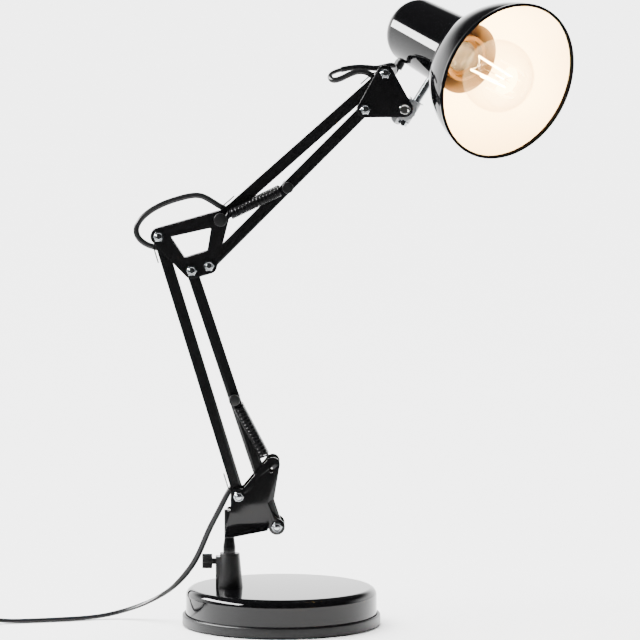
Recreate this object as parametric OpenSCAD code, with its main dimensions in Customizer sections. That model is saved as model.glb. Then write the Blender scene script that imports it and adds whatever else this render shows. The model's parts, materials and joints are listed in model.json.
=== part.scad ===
// Balanced-arm desk lamp. A weighted round base carries a clamp post; a folded bracket turns in
// the post; two pairs of square-tube bars with tension springs carry an elbow and a head bracket;
// a bell shade with a screw-base bulb tilts and turns on a knuckle. Millimetres, +Z up, origin at
// the middle of the base's underside, arms in the plane Y = 0, reaching to +X.

/* [Pose] */
// Lean of the lower arm back from upright
lower_lean = 17; // [14:0.1:20]
// Rise of the upper arm's top bar above level
upper_rise = 41.5; // [36:0.1:46]
// Rise of the shade's swivel stud above level
stud_rise = 57.7; // [50:0.1:64]
// Turn of the shade about its stud, away from straight ahead
shade_turn = 52; // [40:1:56]

/* [Base] */
// Diameter of the tray at the foot of the base
base_d = 166; // [150:1:190]
// Height of the base to its flat top
base_h = 31.5; // [29:0.5:36]
// Height of the tray's rim
tray_h = 9.5; // [7:0.5:12]
// Width of the tray's rim around the cover
tray_rim = 2.6; // [2:0.1:4]
// Thickness of the tray's floor
tray_floor = 2; // [1.5:0.1:3]
// Wall of the cover
cover_wall = 1.6; // [1:0.1:2.4]
// Radius of the cover's shoulder
shoulder_r = 6.5; // [4:0.5:9]
// Height of the ballast disc
ballast_h = 12; // [8:0.5:13]
// Thickness of the foam pad under the tray
pad_t = 2; // [1.5:0.1:2.5]
// Height that the pad stands out below the tray
pad_proud = 0.5; // [0.3:0.1:1]

/* [Post] */
// Distance of the post from the middle of the base
post_x = 43.5; // [35:0.5:52]
// Height of the post above the base
post_h = 28.5; // [26:0.5:34]
// Diameter of the post at its top
post_top_d = 17.3; // [16.5:0.1:20]
// Diameter of the post at its foot
post_foot_d = 22.6; // [20:0.1:26]
// Reach of the post's clamp rib from its axis
rib_reach = 11.4; // [11:0.1:14]
// Width of the clamp rib
rib_w = 11; // [10:0.5:13]
// Depth of the bore for the stem
stem_depth = 15.5; // [13:0.5:16]
// Height of the thumbscrew above the base
screw_z = 21.8; // [20:0.1:22.5]
// Diameter of the thumbscrew's knob
knob_d = 12.2; // [10:0.1:16]
// Length of the thumbscrew's knob
knob_l = 8.4; // [6:0.1:12]
// Number of flutes round the knob
knob_flutes = 18; // [12:1:24]
// Diameter of the thumbscrew's thread
clamp_d = 5; // [4:0.5:5.5]

/* [Bracket] */
// Diameter of the stem in the post
stem_d = 10.6; // [9.6:0.1:11.4]
// Diameter of the stem where it enters the bracket
stem_neck_d = 8.4; // [7.6:0.1:9.4]
// Height of the rear lower pivot above the base
rear_pivot_h = 78; // [74:0.1:84]
// Distance of the rear lower pivot in front of the post's axis
rear_pivot_x = 8; // [7:0.1:10]
// Gap between the bracket's two plates
bracket_gap = 25; // [24:0.5:28]
// Thickness of the plates
plate_t = 1.5; // [1.2:0.1:2]
// Radius of the plates around their pivots
lobe_r = 6.8; // [6.2:0.1:7.4]
// Height of the spring hole above the front lower pivot
lug_h = 47.4; // [45:0.1:50]
// Distance of the spring hole behind the front lower pivot
lug_back = 4.6; // [2:0.1:6]
// Diameter of the spring hole
lug_hole_d = 4.2; // [3.6:0.1:5]

/* [Bars] */
// Width of the square bars
bar_w = 9.5; // [9:0.1:10]
// Wall of the bars
bar_wall = 1; // [0.8:0.1:1.2]
// Length of a bar past its pivot
bar_tail = 4.8; // [4.4:0.1:5]
// Length of the lower bars between pivots
lower_l = 226.2; // [200:0.1:250]
// Length of the upper top bar between pivots
upper_l = 182.2; // [160:0.1:205]
// Distance between the lower arm's two pivots on the bracket
link_l = 40.7; // [39:0.1:42]
// Angle of that pivot pair below level
link_drop = 39; // [37:0.1:41]
// Distance between the lower arm's two pivots on the elbow
elbow_link_l = 39.4; // [38:0.1:41]
// Angle of that pivot pair below level
elbow_link_drop = 46.1; // [44:0.1:48]
// Length of the cord windows in the bars
window_l = 9; // [8:0.5:11]
// Distance of a cord window from its pivot
window_x = 4; // [3.8:0.1:5]

/* [Elbow and head] */
// Gap between the elbow's two plates, and the head's
pair_gap = 10.7; // [10.5:0.1:11.5]
// Distance from the rear lower pivot to the top bar's pivot on the elbow
elbow_l = 53.4; // [51:0.1:56]
// Rise of that line above level
elbow_rise = 15.7; // [14:0.1:18]
// Distance between the upper arm's two pivots on the elbow
upper_link_l = 40; // [39:0.1:42]
// Angle of that line back from straight down
upper_link_back = 14.1; // [13:0.1:16]
// Distance between the upper arm's two pivots on the head bracket
head_link_l = 34.1; // [33:0.1:36]
// Angle of that line back from straight down
head_link_back = 28.9; // [27:0.1:30]
// Distance from the top bar's head pivot to the tilt bolt
tilt_l = 33.7; // [31:0.1:36]
// Angle of that line forward from straight down
tilt_forward = 28.8; // [26:0.1:31]

/* [Fasteners] */
// Diameter of the pivot bolts
bolt_d = 5; // [4:0.1:5.4]
// Running clearance round a bolt, on the radius
run_fit = 0.05; // [0.03:0.01:0.1]
// Width of the lock nuts across flats
nut_af = 8; // [7.5:0.1:9]
// Height of the lock nuts
nut_h = 4.6; // [4:0.1:6]
// Diameter of the tilt bolt and of the swivel stud
stud_d = 4; // [3.4:0.1:4.2]
// Thickness of the nylon washers at the elbow and the head
washer_t = 0.5; // [0.4:0.05:0.55]

/* [Springs] */
// Outer diameter of the springs
spring_d = 8.8; // [8:0.1:9.4]
// Diameter of the spring wire
wire_d = 1.4; // [1.2:0.1:1.6]
// Curls in each spring
curls = 16; // [10:1:24]
// Distance of the lower spring's pin from the front lower pivot
lower_pin_l = 111.8; // [100:0.1:125]
// Distance of the upper spring's pin from the lower pivot of the upper arm
upper_pin_l = 92.4; // [85:0.1:105]
// Diameter of the spring pins
pin_d = 4; // [3.4:0.1:4.6]
// Diameter of the caps on the elbow's spring pin
elbow_cap_d = 11; // [9:0.1:13]
// Diameter of the caps on the bars' spring pins
bar_cap_d = 9.3; // [8:0.1:11]
// Thickness of the caps
cap_t = 2.4; // [2:0.1:3.5]

/* [Knuckle] */
// Diameter of the knuckle's serrated disc
disc_d = 20; // [18:0.5:22]
// Number of notches round the disc
notches = 16; // [10:1:20]
// Distance of the swivel stud from the tilt bolt
stud_offset = 5; // [4.8:0.1:6]
// Diameter of the knuckle's barrel round the stud
barrel_d = 10.4; // [9:0.1:10.4]
// Reach of the barrel below the tilt bolt
barrel_low = 8.2; // [7.5:0.1:10]
// Reach of the barrel above the tilt bolt
barrel_high = 10.3; // [8.5:0.1:11]
// Radius of the knuckle's tail
tail_r = 7.4; // [6:0.1:8]
// Distance of the tail's middle below the tilt bolt
tail_l = 7.2; // [6:0.1:9]
// Diameter of the spacer tube on the stud
spacer_d = 6.5; // [6:0.1:7.5]
// Distance along the stud from the tilt bolt to the shade's axis
stud_reach = 61.3; // [58:0.1:66]

/* [Shade] */
// Diameter of the shade's rim
rim_d = 133; // [118:1:146]
// Distance of the rim in front of the stud
rim_ahead = 84; // [78:0.5:90]
// Depth of the bell behind its rim
bell_l = 60; // [54:0.5:66]
// Depth of the whole shade behind its rim
shade_l = 146; // [140:0.5:152]
// Diameter of the neck where the bell starts
neck_front_d = 62; // [58:0.5:66]
// Slope of the neck's side
neck_slope = 2.1; // [1.5:0.1:3]
// Radius of the neck's closed end
neck_end_r = 16; // [10:0.5:18]
// Bulge of the bell's side beyond a straight cone
bell_bulge = 7.2; // [5:0.1:10]
// Wall of the shade
shade_wall = 0.8; // [0.6:0.1:1.2]
// Diameter of the rolled edge of the rim
bead_d = 2; // [1.6:0.1:3]

/* [Lampholder and bulb] */
// Diameter of the lampholder
holder_d = 39; // [36:0.5:41]
// Length of the lampholder
holder_l = 44; // [40:0.5:46]
// Wall of the lampholder
holder_wall = 3; // [2:0.1:4]
// Distance that the bulb's tip stands out of the rim
bulb_ahead = 15; // [9:0.5:20]
// Diameter of the bulb's glass
bulb_d = 60; // [55:0.5:64]
// Length of the whole bulb
bulb_l = 105; // [100:0.5:110]
// Diameter of the bulb's screw cap
cap_d = 26; // [25:0.1:27]
// Length of the bulb's screw cap
cap_l = 25; // [23:0.5:27]
// Thickness of the bulb's glass
glass_t = 0.8; // [0.5:0.1:1.2]

/* [Cord] */
// Width of the flat cord
cord_w = 4.8; // [4:0.1:5]
// Thickness of the flat cord
cord_t = 3.4; // [3:0.1:3.6]
// Turns in each of the coil's two layers
coil_turns = 3.25; // [2.25:1:3.25]
// Middle radius of the coil's inmost turn
coil_inner_r = 20.5; // [19:0.5:22]
// Gap between the coil's turns
coil_gap = 0.6; // [0.5:0.05:0.8]

/* [Switch and plug] */
// Length of the cord switch
switch_l = 60; // [54:1:64]
// Width of the cord switch
switch_w = 26; // [22:1:30]
// Height of the cord switch
switch_h = 16; // [14:0.5:20]
// Length of the rocker
rocker_l = 18; // [15:0.5:20]
// Width of the rocker
rocker_w = 11; // [9:0.5:13]
// Length of the plug's body
plug_l = 36; // [32:1:42]
// Width of the plug's body
plug_w = 33; // [31:0.5:36]
// Thickness of the plug's body
plug_t = 13.6; // [12:0.1:15]

/* [Hidden] */
$fn = 72;
// Clearance between pieces that pass each other, and between seated ones
gap = 0.3;
seat = 0.02;
over = 1;

// Plane vectors are [X, Z]; at() puts one into space
function polar(l, a) = [l * cos(a), l * sin(a)];
function at(p, y = 0) = [p[0], y, p[1]];
function unit(v) = v / norm(v);
function heading(p, q) = atan2(q[1] - p[1], q[0] - p[0]);
function turned(v, a) = [v[0] * cos(a) - v[1] * sin(a), v[0] * sin(a) + v[1] * cos(a)];

// Pivots of the two arms
A = [rear_pivot_x - post_x, base_h + rear_pivot_h];
B = A + polar(link_l, -link_drop);
C = A + polar(lower_l, 90 + lower_lean);
D = C + polar(elbow_link_l, -elbow_link_drop);
E = C + polar(elbow_l, elbow_rise);
F = E + polar(upper_link_l, -90 - upper_link_back);
G = E + polar(upper_l, upper_rise);
H = G + polar(head_link_l, -90 - head_link_back);
K = G + polar(tilt_l, -90 + tilt_forward);

// Spring ends
lower_pin = B + polar(lower_pin_l, heading(B, D));
upper_pin = F + polar(upper_pin_l, heading(F, H));
lug = B + [-lug_back, lug_h];
lower_spring_y = bar_w / 2 + gap + spring_d / 2;
upper_spring_y = pair_gap / 2 + plate_t + gap + spring_d / 2;
lower_pin_y = lower_spring_y + spring_d / 2 + gap;
upper_pin_y = upper_spring_y + spring_d / 2 + gap;

// The swivel stud and the shade's axis
stud_foot = K + polar(stud_offset, stud_rise - 90);
crease_z = rim_ahead - bell_l;
end_z = rim_ahead - shade_l;
function neck_r(z) = neck_front_d / 2 - (crease_z - z) * tan(neck_slope);
neck_on_stud = stud_reach - neck_r(0) * cos(neck_slope);

// Extrudes a plane outline to a plate from y0 to y0 + t
module plate(y0, t) {
    translate([0, y0 + t, 0])
        rotate([90, 0, 0])
            linear_extrude(t)
                children();
}
// Carries local X along the line from p to q, local Z to its left
module along(p, q) {
    translate(at(p))
        rotate([0, -heading(p, q), 0])
            children();
}
// A cylinder across the arm plane from y0 to y1 at the plane point p
module cross_pin(p, d, y0, y1) {
    translate(at(p, y1))
        rotate([90, 0, 0])
            cylinder(d = d, h = y1 - y0);
}
// Outline of a convex plate with a round lobe at each point
module lobed(pts, r) {
    n = len(pts);
    edges = [for (i = [0 : n - 1]) let (p = pts[i], q = pts[(i + 1) % n], m = turned(unit(q - p), -90))
        each [p + r * m, q + r * m]];
    polygon(edges);
    for (p = pts)
        translate(p)
            circle(r);
}
// Square tube from p to q with its bores; the cord window and its tongue stand on the left face
module bar(p, q, end_bore, pin_at, windows) {
    l = norm(q - p);
    inner = bar_w - 2 * bar_wall;
    along(p, q) {
        difference() {
            translate([-bar_tail, -bar_w / 2, -bar_w / 2])
                cube([l + 2 * bar_tail, bar_w, bar_w]);
            translate([-bar_tail - over, -inner / 2, -inner / 2])
                cube([l + 2 * (bar_tail + over), inner, inner]);
            for (hole = [[0, bolt_d + 2 * run_fit], [l, end_bore]])
                translate([hole[0], 0, 0])
                    rotate([90, 0, 0])
                        cylinder(d = hole[1], h = bar_w + over, center = true);
            if (pin_at > 0)
                translate([pin_at, 0, 0])
                    rotate([90, 0, 0])
                        cylinder(d = pin_d + 2 * seat, h = bar_w + over, center = true);
            if (windows)
                for (x = [window_x, l - window_x - window_l])
                    translate([x, -tongue_in, 0])
                        cube([window_l, inner / 2 + tongue_in, bar_w]);
        }
        if (windows) {
            tongue(window_x, tongue_l);
            tongue(l - window_x, -tongue_l);
        }
    }
}
// Tongue of sheet bent out of a bar's left face beside the window, rooted at x and reaching l along the bar
module tongue(x, l) {
    way = sign(l);
    translate([x, -tongue_in, bar_w / 2])
        rotate([90, 0, 0])
            linear_extrude(bar_w / 2 - tongue_in)
                polygon([[-way, -bar_wall / 2], [0, -bar_wall / 2],
                    [tongue_bend * way, tongue_rise], [l, tongue_rise],
                    [l, tongue_rise + bar_wall], [(tongue_bend - bar_wall / 2) * way, tongue_rise + bar_wall],
                    [-way, bar_wall / 4]]);
}
tongue_l = 17;
tongue_bend = 4.5;
tongue_in = 2.6;
tongue_rise = 1.5;

// Hexagon nut and bolt across the arm plane; the nut is on the near side of the plates
module lock_nut(p, y, af, h, d) {
    difference() {
        union() {
            plate(y - 0.7 * h, 0.7 * h)
                translate(p)
                    circle(d = af / cos(30), $fn = 6);
            cross_pin(p, af - 0.8, y - h, y - 0.7 * h);
        }
        cross_pin(p, d + 2 * seat, y - h - over, y + over);
    }
}
module pivot_bolt(p, y, d) {
    cross_pin(p, d, -y - nut_h - bolt_end, y);
    cross_pin(p, bolt_head_d, y, y + bolt_head_h);
}
bolt_end = 0.6;
bolt_head_d = 9;
bolt_head_h = 3;
module ring_on(p, od, id, y0, y1) {
    difference() {
        cross_pin(p, od, y0, y1);
        cross_pin(p, id, y0 - over, y1 + over);
    }
}

// Sweeps an oval of w by t along points; u is the first ring's wide direction
function square_to(v, t) = unit(v - (v * t) * t);
function tangents(pts) = let (n = len(pts) - 1)
    [for (i = [0 : n]) unit(pts[min(i + 1, n)] - pts[max(i - 1, 0)])];
function carried(ts, u) = [for (i = 0, v = square_to(u, ts[0]); i < len(ts);
    i = i + 1, v = square_to(v, ts[min(i, len(ts) - 1)])) v];
module sweep(pts, w, t, sides, u) {
    ts = tangents(pts);
    us = carried(ts, u);
    n = len(pts);
    vertices = [for (i = [0 : n - 1]) for (k = [0 : sides - 1]) let (a = 360 * (k + 0.5) / sides)
        pts[i] + w / 2 * cos(a) * us[i] + t / 2 * sin(a) * cross(ts[i], us[i])];
    skin = [for (i = [0 : n - 2]) for (k = [0 : sides - 1])
        let (a = i * sides + k, b = i * sides + (k + 1) % sides)
        each [[a, a + sides, b], [b, a + sides, b + sides]]];
    ends = [for (k = [1 : sides - 2]) each [[0, k, k + 1],
        [(n - 1) * sides, (n - 1) * sides + k + 1, (n - 1) * sides + k]]];
    polyhedron(vertices, concat(skin, ends));
}
// Smooth run through hand-chosen points, k steps from each to the next
function eased(p, i, t) = let (n = len(p) - 1)
    let (a = p[max(i - 1, 0)], b = p[i], c = p[i + 1], d = p[min(i + 2, n)])
    b + t / 2 * (c - a) + t * t * (a - 2.5 * b + 2 * c - d / 2)
        + t * t * t * (1.5 * b - a / 2 - 1.5 * c + d / 2);
function smooth(p, k) = concat([for (i = [0 : len(p) - 2]) for (j = [0 : k - 1]) eased(p, i, j / k)],
    [p[len(p) - 1]]);
// Least distance between points of a run that lie more than skip steps apart
function least_gap(p, skip) = min([for (i = [0 : len(p) - skip - 2]) for (j = [i + skip + 1 : len(p) - 1])
    norm(p[i] - p[j])]);

// Base
tray_r = base_d / 2;
cover_r = tray_r - tray_rim - 0.4;
pad_r = tray_r - 6;
floor_z = pad_t + tray_floor;
ballast_top = floor_z + ballast_h;
tie_d = 5;
tie_head_d = 11;
tie_head_h = pad_t - 0.4;
boss_r = 8;
boss_depth = 10;
tray_edge = 0.8;
module base_tray() {
    color("#111112")
        difference() {
            rotate_extrude()
                polygon([[0, pad_t], [pad_r + gap, pad_t], [pad_r + gap, pad_proud],
                    [tray_r - tray_edge, pad_proud], [tray_r, pad_proud + tray_edge],
                    [tray_r, tray_h - tray_edge], [tray_r - tray_edge, tray_h],
                    [tray_r - tray_rim, tray_h], [tray_r - tray_rim, floor_z], [0, floor_z]]);
            cylinder(d = tie_d + 2 * run_fit, h = base_h);
        }
}
function shoulder(r, top, round, steps) = [for (i = [0 : steps]) let (a = 90 * i / steps)
    [r - round + round * cos(a), top - round + round * sin(a)]];
module base_cover() {
    inside = shoulder(cover_r - cover_wall, base_h - cover_wall, shoulder_r - cover_wall, 12);
    color("#0b0b0c")
        difference() {
            union() {
                rotate_extrude($fn = 144)
                    polygon(concat([[cover_r - cover_wall, floor_z], [cover_r, floor_z]],
                        shoulder(cover_r, base_h, shoulder_r, 12), [[0, base_h], [0, base_h - cover_wall]],
                        [for (i = [len(inside) - 1 : -1 : 0]) inside[i]]));
                translate([0, 0, ballast_top])
                    cylinder(r = boss_r, h = base_h - cover_wall - ballast_top + seat);
            }
            translate([0, 0, ballast_top - over])
                cylinder(d = tie_d + 2 * seat, h = boss_depth + over);
            translate([-post_x, 0, ballast_top])
                cylinder(d = post_screw_d + 2 * run_fit, h = base_h);
        }
}
module ballast() {
    color("#4a4a4c")
        difference() {
            translate([0, 0, floor_z])
                cylinder(r = cover_r - cover_wall - 1, h = ballast_h);
            cylinder(d = tie_d + 2 * run_fit, h = base_h);
        }
}
module foot_pad() {
    color("#1d1d1e")
        difference() {
            cylinder(r = pad_r, h = pad_t);
            translate([0, 0, pad_t - tie_head_h - 0.1])
                cylinder(d = tie_head_d + 2 * gap, h = pad_t);
        }
}
module tie_screw() {
    color("#9a9a98") {
        translate([0, 0, pad_t - tie_head_h])
            cylinder(d = tie_head_d, h = tie_head_h);
        translate([0, 0, pad_t])
            cylinder(d = tie_d, h = ballast_top - pad_t + boss_depth - over);
    }
}

// Post
post_z = base_h;
post_top = base_h + post_h;
clamp_z = base_h + screw_z;
post_screw_d = 6;
post_screw_in = 11;
clamp_nut_w = 8;
clamp_nut_t = 3.2;
clamp_nut_r = 6.7;
rib_drop = 2.5;
knob_gap = 2.9;
nut_slot_w = clamp_nut_w + 2 * seat;
module clamp_post() {
    color("#161617")
        translate([-post_x, 0, 0])
            difference() {
                union() {
                    translate([0, 0, post_z])
                        cylinder(d1 = post_foot_d, d2 = post_top_d, h = post_h);
                    translate([-rib_reach, -rib_w / 2, post_z])
                        cube([rib_reach, rib_w, post_h - rib_drop]);
                }
                translate([0, 0, post_top - stem_depth])
                    cylinder(d = stem_d + 2 * run_fit, h = stem_depth + over);
                translate([0, 0, post_z - over])
                    cylinder(d = post_screw_d + 2 * seat, h = post_screw_in + 2 * over);
                translate([-rib_reach - over, 0, clamp_z])
                    rotate([0, 90, 0])
                        cylinder(d = clamp_d + 2 * run_fit, h = rib_reach + over);
                translate([-clamp_nut_r - clamp_nut_t - seat, -nut_slot_w / 2, clamp_z - nut_slot_w / 2])
                    cube([clamp_nut_t + 2 * seat, nut_slot_w, post_h]);
            }
}
module post_screw() {
    head_h = 4;
    washer = 1.2;
    z0 = base_h - cover_wall - washer - head_h;
    color("#9a9a98")
        translate([-post_x, 0, z0]) {
            cylinder(d = 10 / cos(30), h = head_h, $fn = 6);
            translate([0, 0, head_h])
                cylinder(d = 13, h = washer);
            translate([0, 0, head_h + washer])
                cylinder(d = post_screw_d, h = cover_wall + post_screw_in);
        }
}
module clamp_nut() {
    color("#a8a8a4")
        translate([-post_x - clamp_nut_r - clamp_nut_t, 0, clamp_z])
            difference() {
                translate([0, -clamp_nut_w / 2, -clamp_nut_w / 2])
                    cube([clamp_nut_t, clamp_nut_w, clamp_nut_w]);
                translate([-over, 0, 0])
                    rotate([0, 90, 0])
                        cylinder(d = clamp_d + 2 * run_fit, h = clamp_nut_t + 2 * over);
            }
}
module thumbscrew() {
    shank = rib_reach + knob_gap - stem_d / 2 - 0.1;
    flute_d = 1.4;
    color("#202021")
        translate([-post_x - rib_reach - knob_gap, 0, clamp_z])
            rotate([0, -90, 0]) {
                difference() {
                    cylinder(d = knob_d, h = knob_l);
                    for (i = [0 : knob_flutes - 1])
                        rotate(360 * i / knob_flutes)
                            translate([knob_d / 2 + 0.2, 0, -over])
                                cylinder(d = flute_d, h = knob_l + 2 * over, $fn = 24);
                }
                translate([0, 0, -shank])
                    cylinder(d = clamp_d, h = shank + over);
            }
}

// Bracket that turns in the post: two plates, their slanted skirts and the stem
plate_in = bracket_gap / 2;
plate_out = plate_in + plate_t;
step_drop = 11.7;
step_out = 2.9;
bend_z = B[1] + 3;
stem_foot = post_top - stem_depth + gap;
stem_top = A[1] - 12.7;
notch = [B + [-3.4, 10.4], B + [-7.6, 19.7], B + [-5.3, 22], B + [-2.2, 23.4]];
lug_top = B + [-3.2, 52.3];
lug_r = 5.9;
module bracket_outline() {
    polygon(concat([A + [-lobe_r, 0], A + [-lobe_r, -step_drop], A + [-lobe_r - step_out, -step_drop - 0.8],
        [A[0] - lobe_r - step_out, bend_z], [B[0] - lobe_r, bend_z], B + [0, -lobe_r], B + [lobe_r, 0],
        B + [lobe_r - 1, 3]], notch,
        [lug_top + [lug_r, 0], lug_top + [0, lug_r], lug_top + polar(lug_r, 140), A + polar(lobe_r, 60),
            A + polar(lobe_r, 120)]));
    for (p = [A, B])
        translate(p)
            circle(lobe_r);
    translate(lug_top)
        circle(lug_r);
}
// Skirt that slants in from a plate's lower edge to the stem
module skirt() {
    left = A[0] - lobe_r - step_out;
    right = B[0] - lobe_r + 2;
    lean = (plate_in - stem_neck_d / 2 + plate_t) / (bend_z - stem_low);
    hull() {
        translate([left, plate_in, bend_z - 0.2])
            cube([right - left, plate_t, 0.2]);
        translate([-post_x - stem_neck_d / 2, stem_neck_d / 2 - plate_t, stem_low])
            cube([stem_neck_d, plate_t, 0.2]);
        translate([right - 4, plate_in - lean * (bend_z - skirt_end_z), skirt_end_z])
            cube([1, plate_t, 0.2]);
    }
}
stem_low = bend_z - 13;
skirt_end_z = bend_z - 7;
module bracket() {
    color("#0d0d0e")
        difference() {
            union() {
                for (y = [-plate_out, plate_in])
                    plate(y, plate_t)
                        bracket_outline();
                skirt();
                mirror([0, 1, 0])
                    skirt();
                translate([-post_x, 0, 0])
                    rotate_extrude()
                        polygon([[0, stem_foot], [stem_d / 2, stem_foot], [stem_d / 2, post_top + 5],
                            [stem_neck_d / 2, post_top + 13], [stem_neck_d / 2, stem_top], [0, stem_top]]);
            }
            for (p = [A, B])
                cross_pin(p, bolt_d + 2 * seat, -plate_out - over, plate_out + over);
            cross_pin(lug, lug_hole_d, -plate_out - over, plate_out + over);
        }
}
module bracket_bolts() {
    color("#b9bab8")
        for (p = [A, B])
            pivot_bolt(p, plate_out, bolt_d);
}
module bracket_nuts() {
    color("#c9cac8")
        for (p = [A, B])
            lock_nut(p, -plate_out, nut_af, nut_h, bolt_d);
}
spacer_od = 9;
module bracket_spacers() {
    color("#d8d8d2")
        for (p = [A, B])
            for (y = [-plate_in, bar_w / 2 + run_fit])
                ring_on(p, spacer_od, bolt_d + 2 * run_fit, y, y + plate_in - bar_w / 2 - run_fit);
}

// Bars and the pins of their springs
module lower_rear_bar() {
    color("#0c0c0d")
        bar(A, C, bolt_d + 2 * run_fit, 0, true);
}
module lower_front_bar() {
    color("#0c0c0d")
        bar(B, D, bolt_d + 2 * open_fit, lower_pin_l, false);
}
module upper_top_bar() {
    color("#0c0c0d")
        bar(E, G, bolt_d + 2 * run_fit, 0, true);
}
module upper_bottom_bar() {
    color("#0c0c0d")
        bar(F, H, bolt_d + 2 * open_fit, upper_pin_l, false);
}
// Radial clearance at the open pivots, the front bar's on the elbow and the lower one on the head bracket
open_fit = 0.9;
module spring_pin(p, d, y, cap_d) {
    color("#101011") {
        cross_pin(p, d, -y, y);
        for (side = [-y - cap_t, y])
            cross_pin(p, cap_d, side, side + cap_t);
    }
}
module lower_spring_pin() spring_pin(lower_pin, pin_d, lower_pin_y, bar_cap_d);
module upper_spring_pin() spring_pin(upper_pin, pin_d, upper_pin_y, bar_cap_d);
module elbow_spring_pin() spring_pin(E, bolt_d, upper_pin_y, elbow_cap_d);

// Springs: straight end, curls that grow from and shrink to the axis, straight end or hook
curl_steps = 8;
hook_l = 9;
upper_tail = 4.5;
function spring_run(p, q, from, to, tail) = let (
        axis = unit(q - p),
        u = unit(cross(axis, [0, 1, 0])),
        v = cross(axis, u),
        n = curls * curl_steps,
        r = (spring_d - wire_d) / 2,
        s0 = from + 2 * wire_d,
        s1 = norm(q - p) - to - tail)
    concat([p + from * axis],
        [for (i = [0 : n]) let (grow = min(1, i / 6, (n - i) / 6), a = 360 * i / curl_steps)
            p + (s0 + (s1 - s0) * i / n) * axis + r * grow * (cos(a) * u + sin(a) * v)],
        [q - to * axis]);
function hook(q, side) = [q + [0, side * wire_d, 0],
    [q[0], side * (plate_out + wire_d), q[2]]];
lug_catch = lug + polar(lug_hole_d / 2 - wire_d / 2 - gap, heading(lug, lower_pin));
function lower_spring_run(side) = let (y = side * lower_spring_y)
    concat(spring_run(at(lower_pin, y), at(lug_catch, y), pin_d / 2 + gap, 0, hook_l),
        hook(at(lug_catch, y), side));
function upper_spring_run(side) = let (y = side * upper_spring_y)
    spring_run(at(E, y), at(upper_pin, y), bolt_d / 2 + gap, pin_d / 2 + gap, upper_tail);
module spring(run) {
    echo(spring_least_gap = least_gap(run, curl_steps - 3) - wire_d);
    color("#3a3a3c")
        sweep(run, wire_d, wire_d, 6, [0, 1, 0]);
}
module lower_spring_front() spring(lower_spring_run(-1));
module lower_spring_rear() spring(lower_spring_run(1));
module upper_spring_front() spring(upper_spring_run(-1));
module upper_spring_rear() spring(upper_spring_run(1));

// Elbow
pair_in = pair_gap / 2;
pair_out = pair_in + plate_t;
elbow_window = [C + [11.2, -0.9], D + [-5.5, 11.4], F + [-2.1, 12.9], E + [-8.9, -8.4]];
module elbow_plate(y) {
    color("#0c0c0d")
        difference() {
            plate(y, plate_t)
                difference() {
                    lobed([C, D, F, E], lobe_r);
                    lobed(elbow_window, window_round);
                }
            for (p = [C, D, E, F])
                cross_pin(p, bolt_d + 2 * seat, y - over, y + plate_t + over);
        }
}
window_round = 0.8;
module elbow_plate_front() elbow_plate(-pair_out);
module elbow_plate_rear() elbow_plate(pair_in);
module elbow_bolts() {
    color("#b9bab8")
        for (p = [C, D, F])
            pivot_bolt(p, pair_out, bolt_d);
}
module elbow_nuts() {
    color("#c9cac8")
        for (p = [C, D, F])
            lock_nut(p, -pair_out, nut_af, nut_h, bolt_d);
}
washer_od = 9;
module washers(pts, od) {
    color("#d8d8d2")
        for (p = pts)
            for (y = [-pair_in, pair_in - washer_t])
                ring_on(p, od, bolt_d + 2 * run_fit, y, y + washer_t);
}
module elbow_washers() washers([C, D, E, F], washer_od);

// Head bracket
module head_plate(y) {
    color("#0c0c0d")
        difference() {
            plate(y, plate_t)
                lobed([G, H, K], lobe_r);
            for (p = [G, H])
                cross_pin(p, bolt_d + 2 * seat, y - over, y + plate_t + over);
            cross_pin(K, stud_d + 2 * seat, y - over, y + plate_t + over);
        }
}
module head_plate_front() head_plate(-pair_out);
module head_plate_rear() head_plate(pair_in);
module head_bolts() {
    color("#b9bab8")
        for (p = [G, H])
            pivot_bolt(p, pair_out, bolt_d);
}
tilt_nut_af = 7;
tilt_nut_h = 3.6;
module head_nuts() {
    color("#c9cac8") {
        for (p = [G, H])
            lock_nut(p, -pair_out, nut_af, nut_h, bolt_d);
        mirror([0, 1, 0])
            lock_nut(K, -pair_out, tilt_nut_af, tilt_nut_h, stud_d);
    }
}
module head_washers() washers([G, H], washer_od);
tilt_head_d = 8.6;
tilt_head_h = 2.6;
module tilt_bolt() {
    color("#cfd0ce") {
        cross_pin(K, stud_d, -pair_out, pair_out + tilt_nut_h + bolt_end);
        difference() {
            cross_pin(K, tilt_head_d, -pair_out - tilt_head_h, -pair_out);
            cross_pin(K, tilt_head_d - 2.4, -pair_out - tilt_head_h - over, -pair_out - tilt_head_h + 0.5);
        }
    }
}

// Knuckle between the head's plates, with the swivel stud through its barrel
module on_stud() {
    translate(at(stud_foot))
        rotate([0, 90 - stud_rise, 0])
            children();
}
disc_t = 4;
// The sleeve round the stud stays inside the barrel's two flat faces
sleeve_d = barrel_d - 0.8;
module notched_disc() {
    difference() {
        circle(d = disc_d);
        for (i = [0 : notches - 1])
            rotate(360 * i / notches)
                translate([disc_d / 2 + 0.3, 0])
                    circle(d = 2, $fn = 24);
    }
}
module knuckle() {
    color("#8f9092")
        difference() {
            union() {
                plate(-barrel_d / 2, disc_t)
                    translate(K)
                        notched_disc();
                plate(-barrel_d / 2, barrel_d)
                    translate(K)
                        circle(r = lobe_r);
                plate(0, barrel_d / 2)
                    lobed([K, K - polar(tail_l, stud_rise)], tail_r);
                on_stud()
                    translate([0, 0, -barrel_low])
                        cylinder(d = sleeve_d, h = barrel_low + barrel_high);
            }
            cross_pin(K, stud_d + 2 * run_fit, -barrel_d, barrel_d);
            on_stud()
                translate([0, 0, -barrel_low - disc_d])
                    cylinder(d = stud_d + 2 * run_fit, h = stud_reach);
            on_stud()
                translate([0, 0, -barrel_low - disc_d])
                    cylinder(d = swivel_washer_d, h = disc_d);
        }
}
swivel_washer_d = 11;
top_washer_d = 14;
swivel_washer_t = 0.8;
swivel_nut_h = 3.2;
stud_head_d = 8;
stud_head_h = 2.4;
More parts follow.
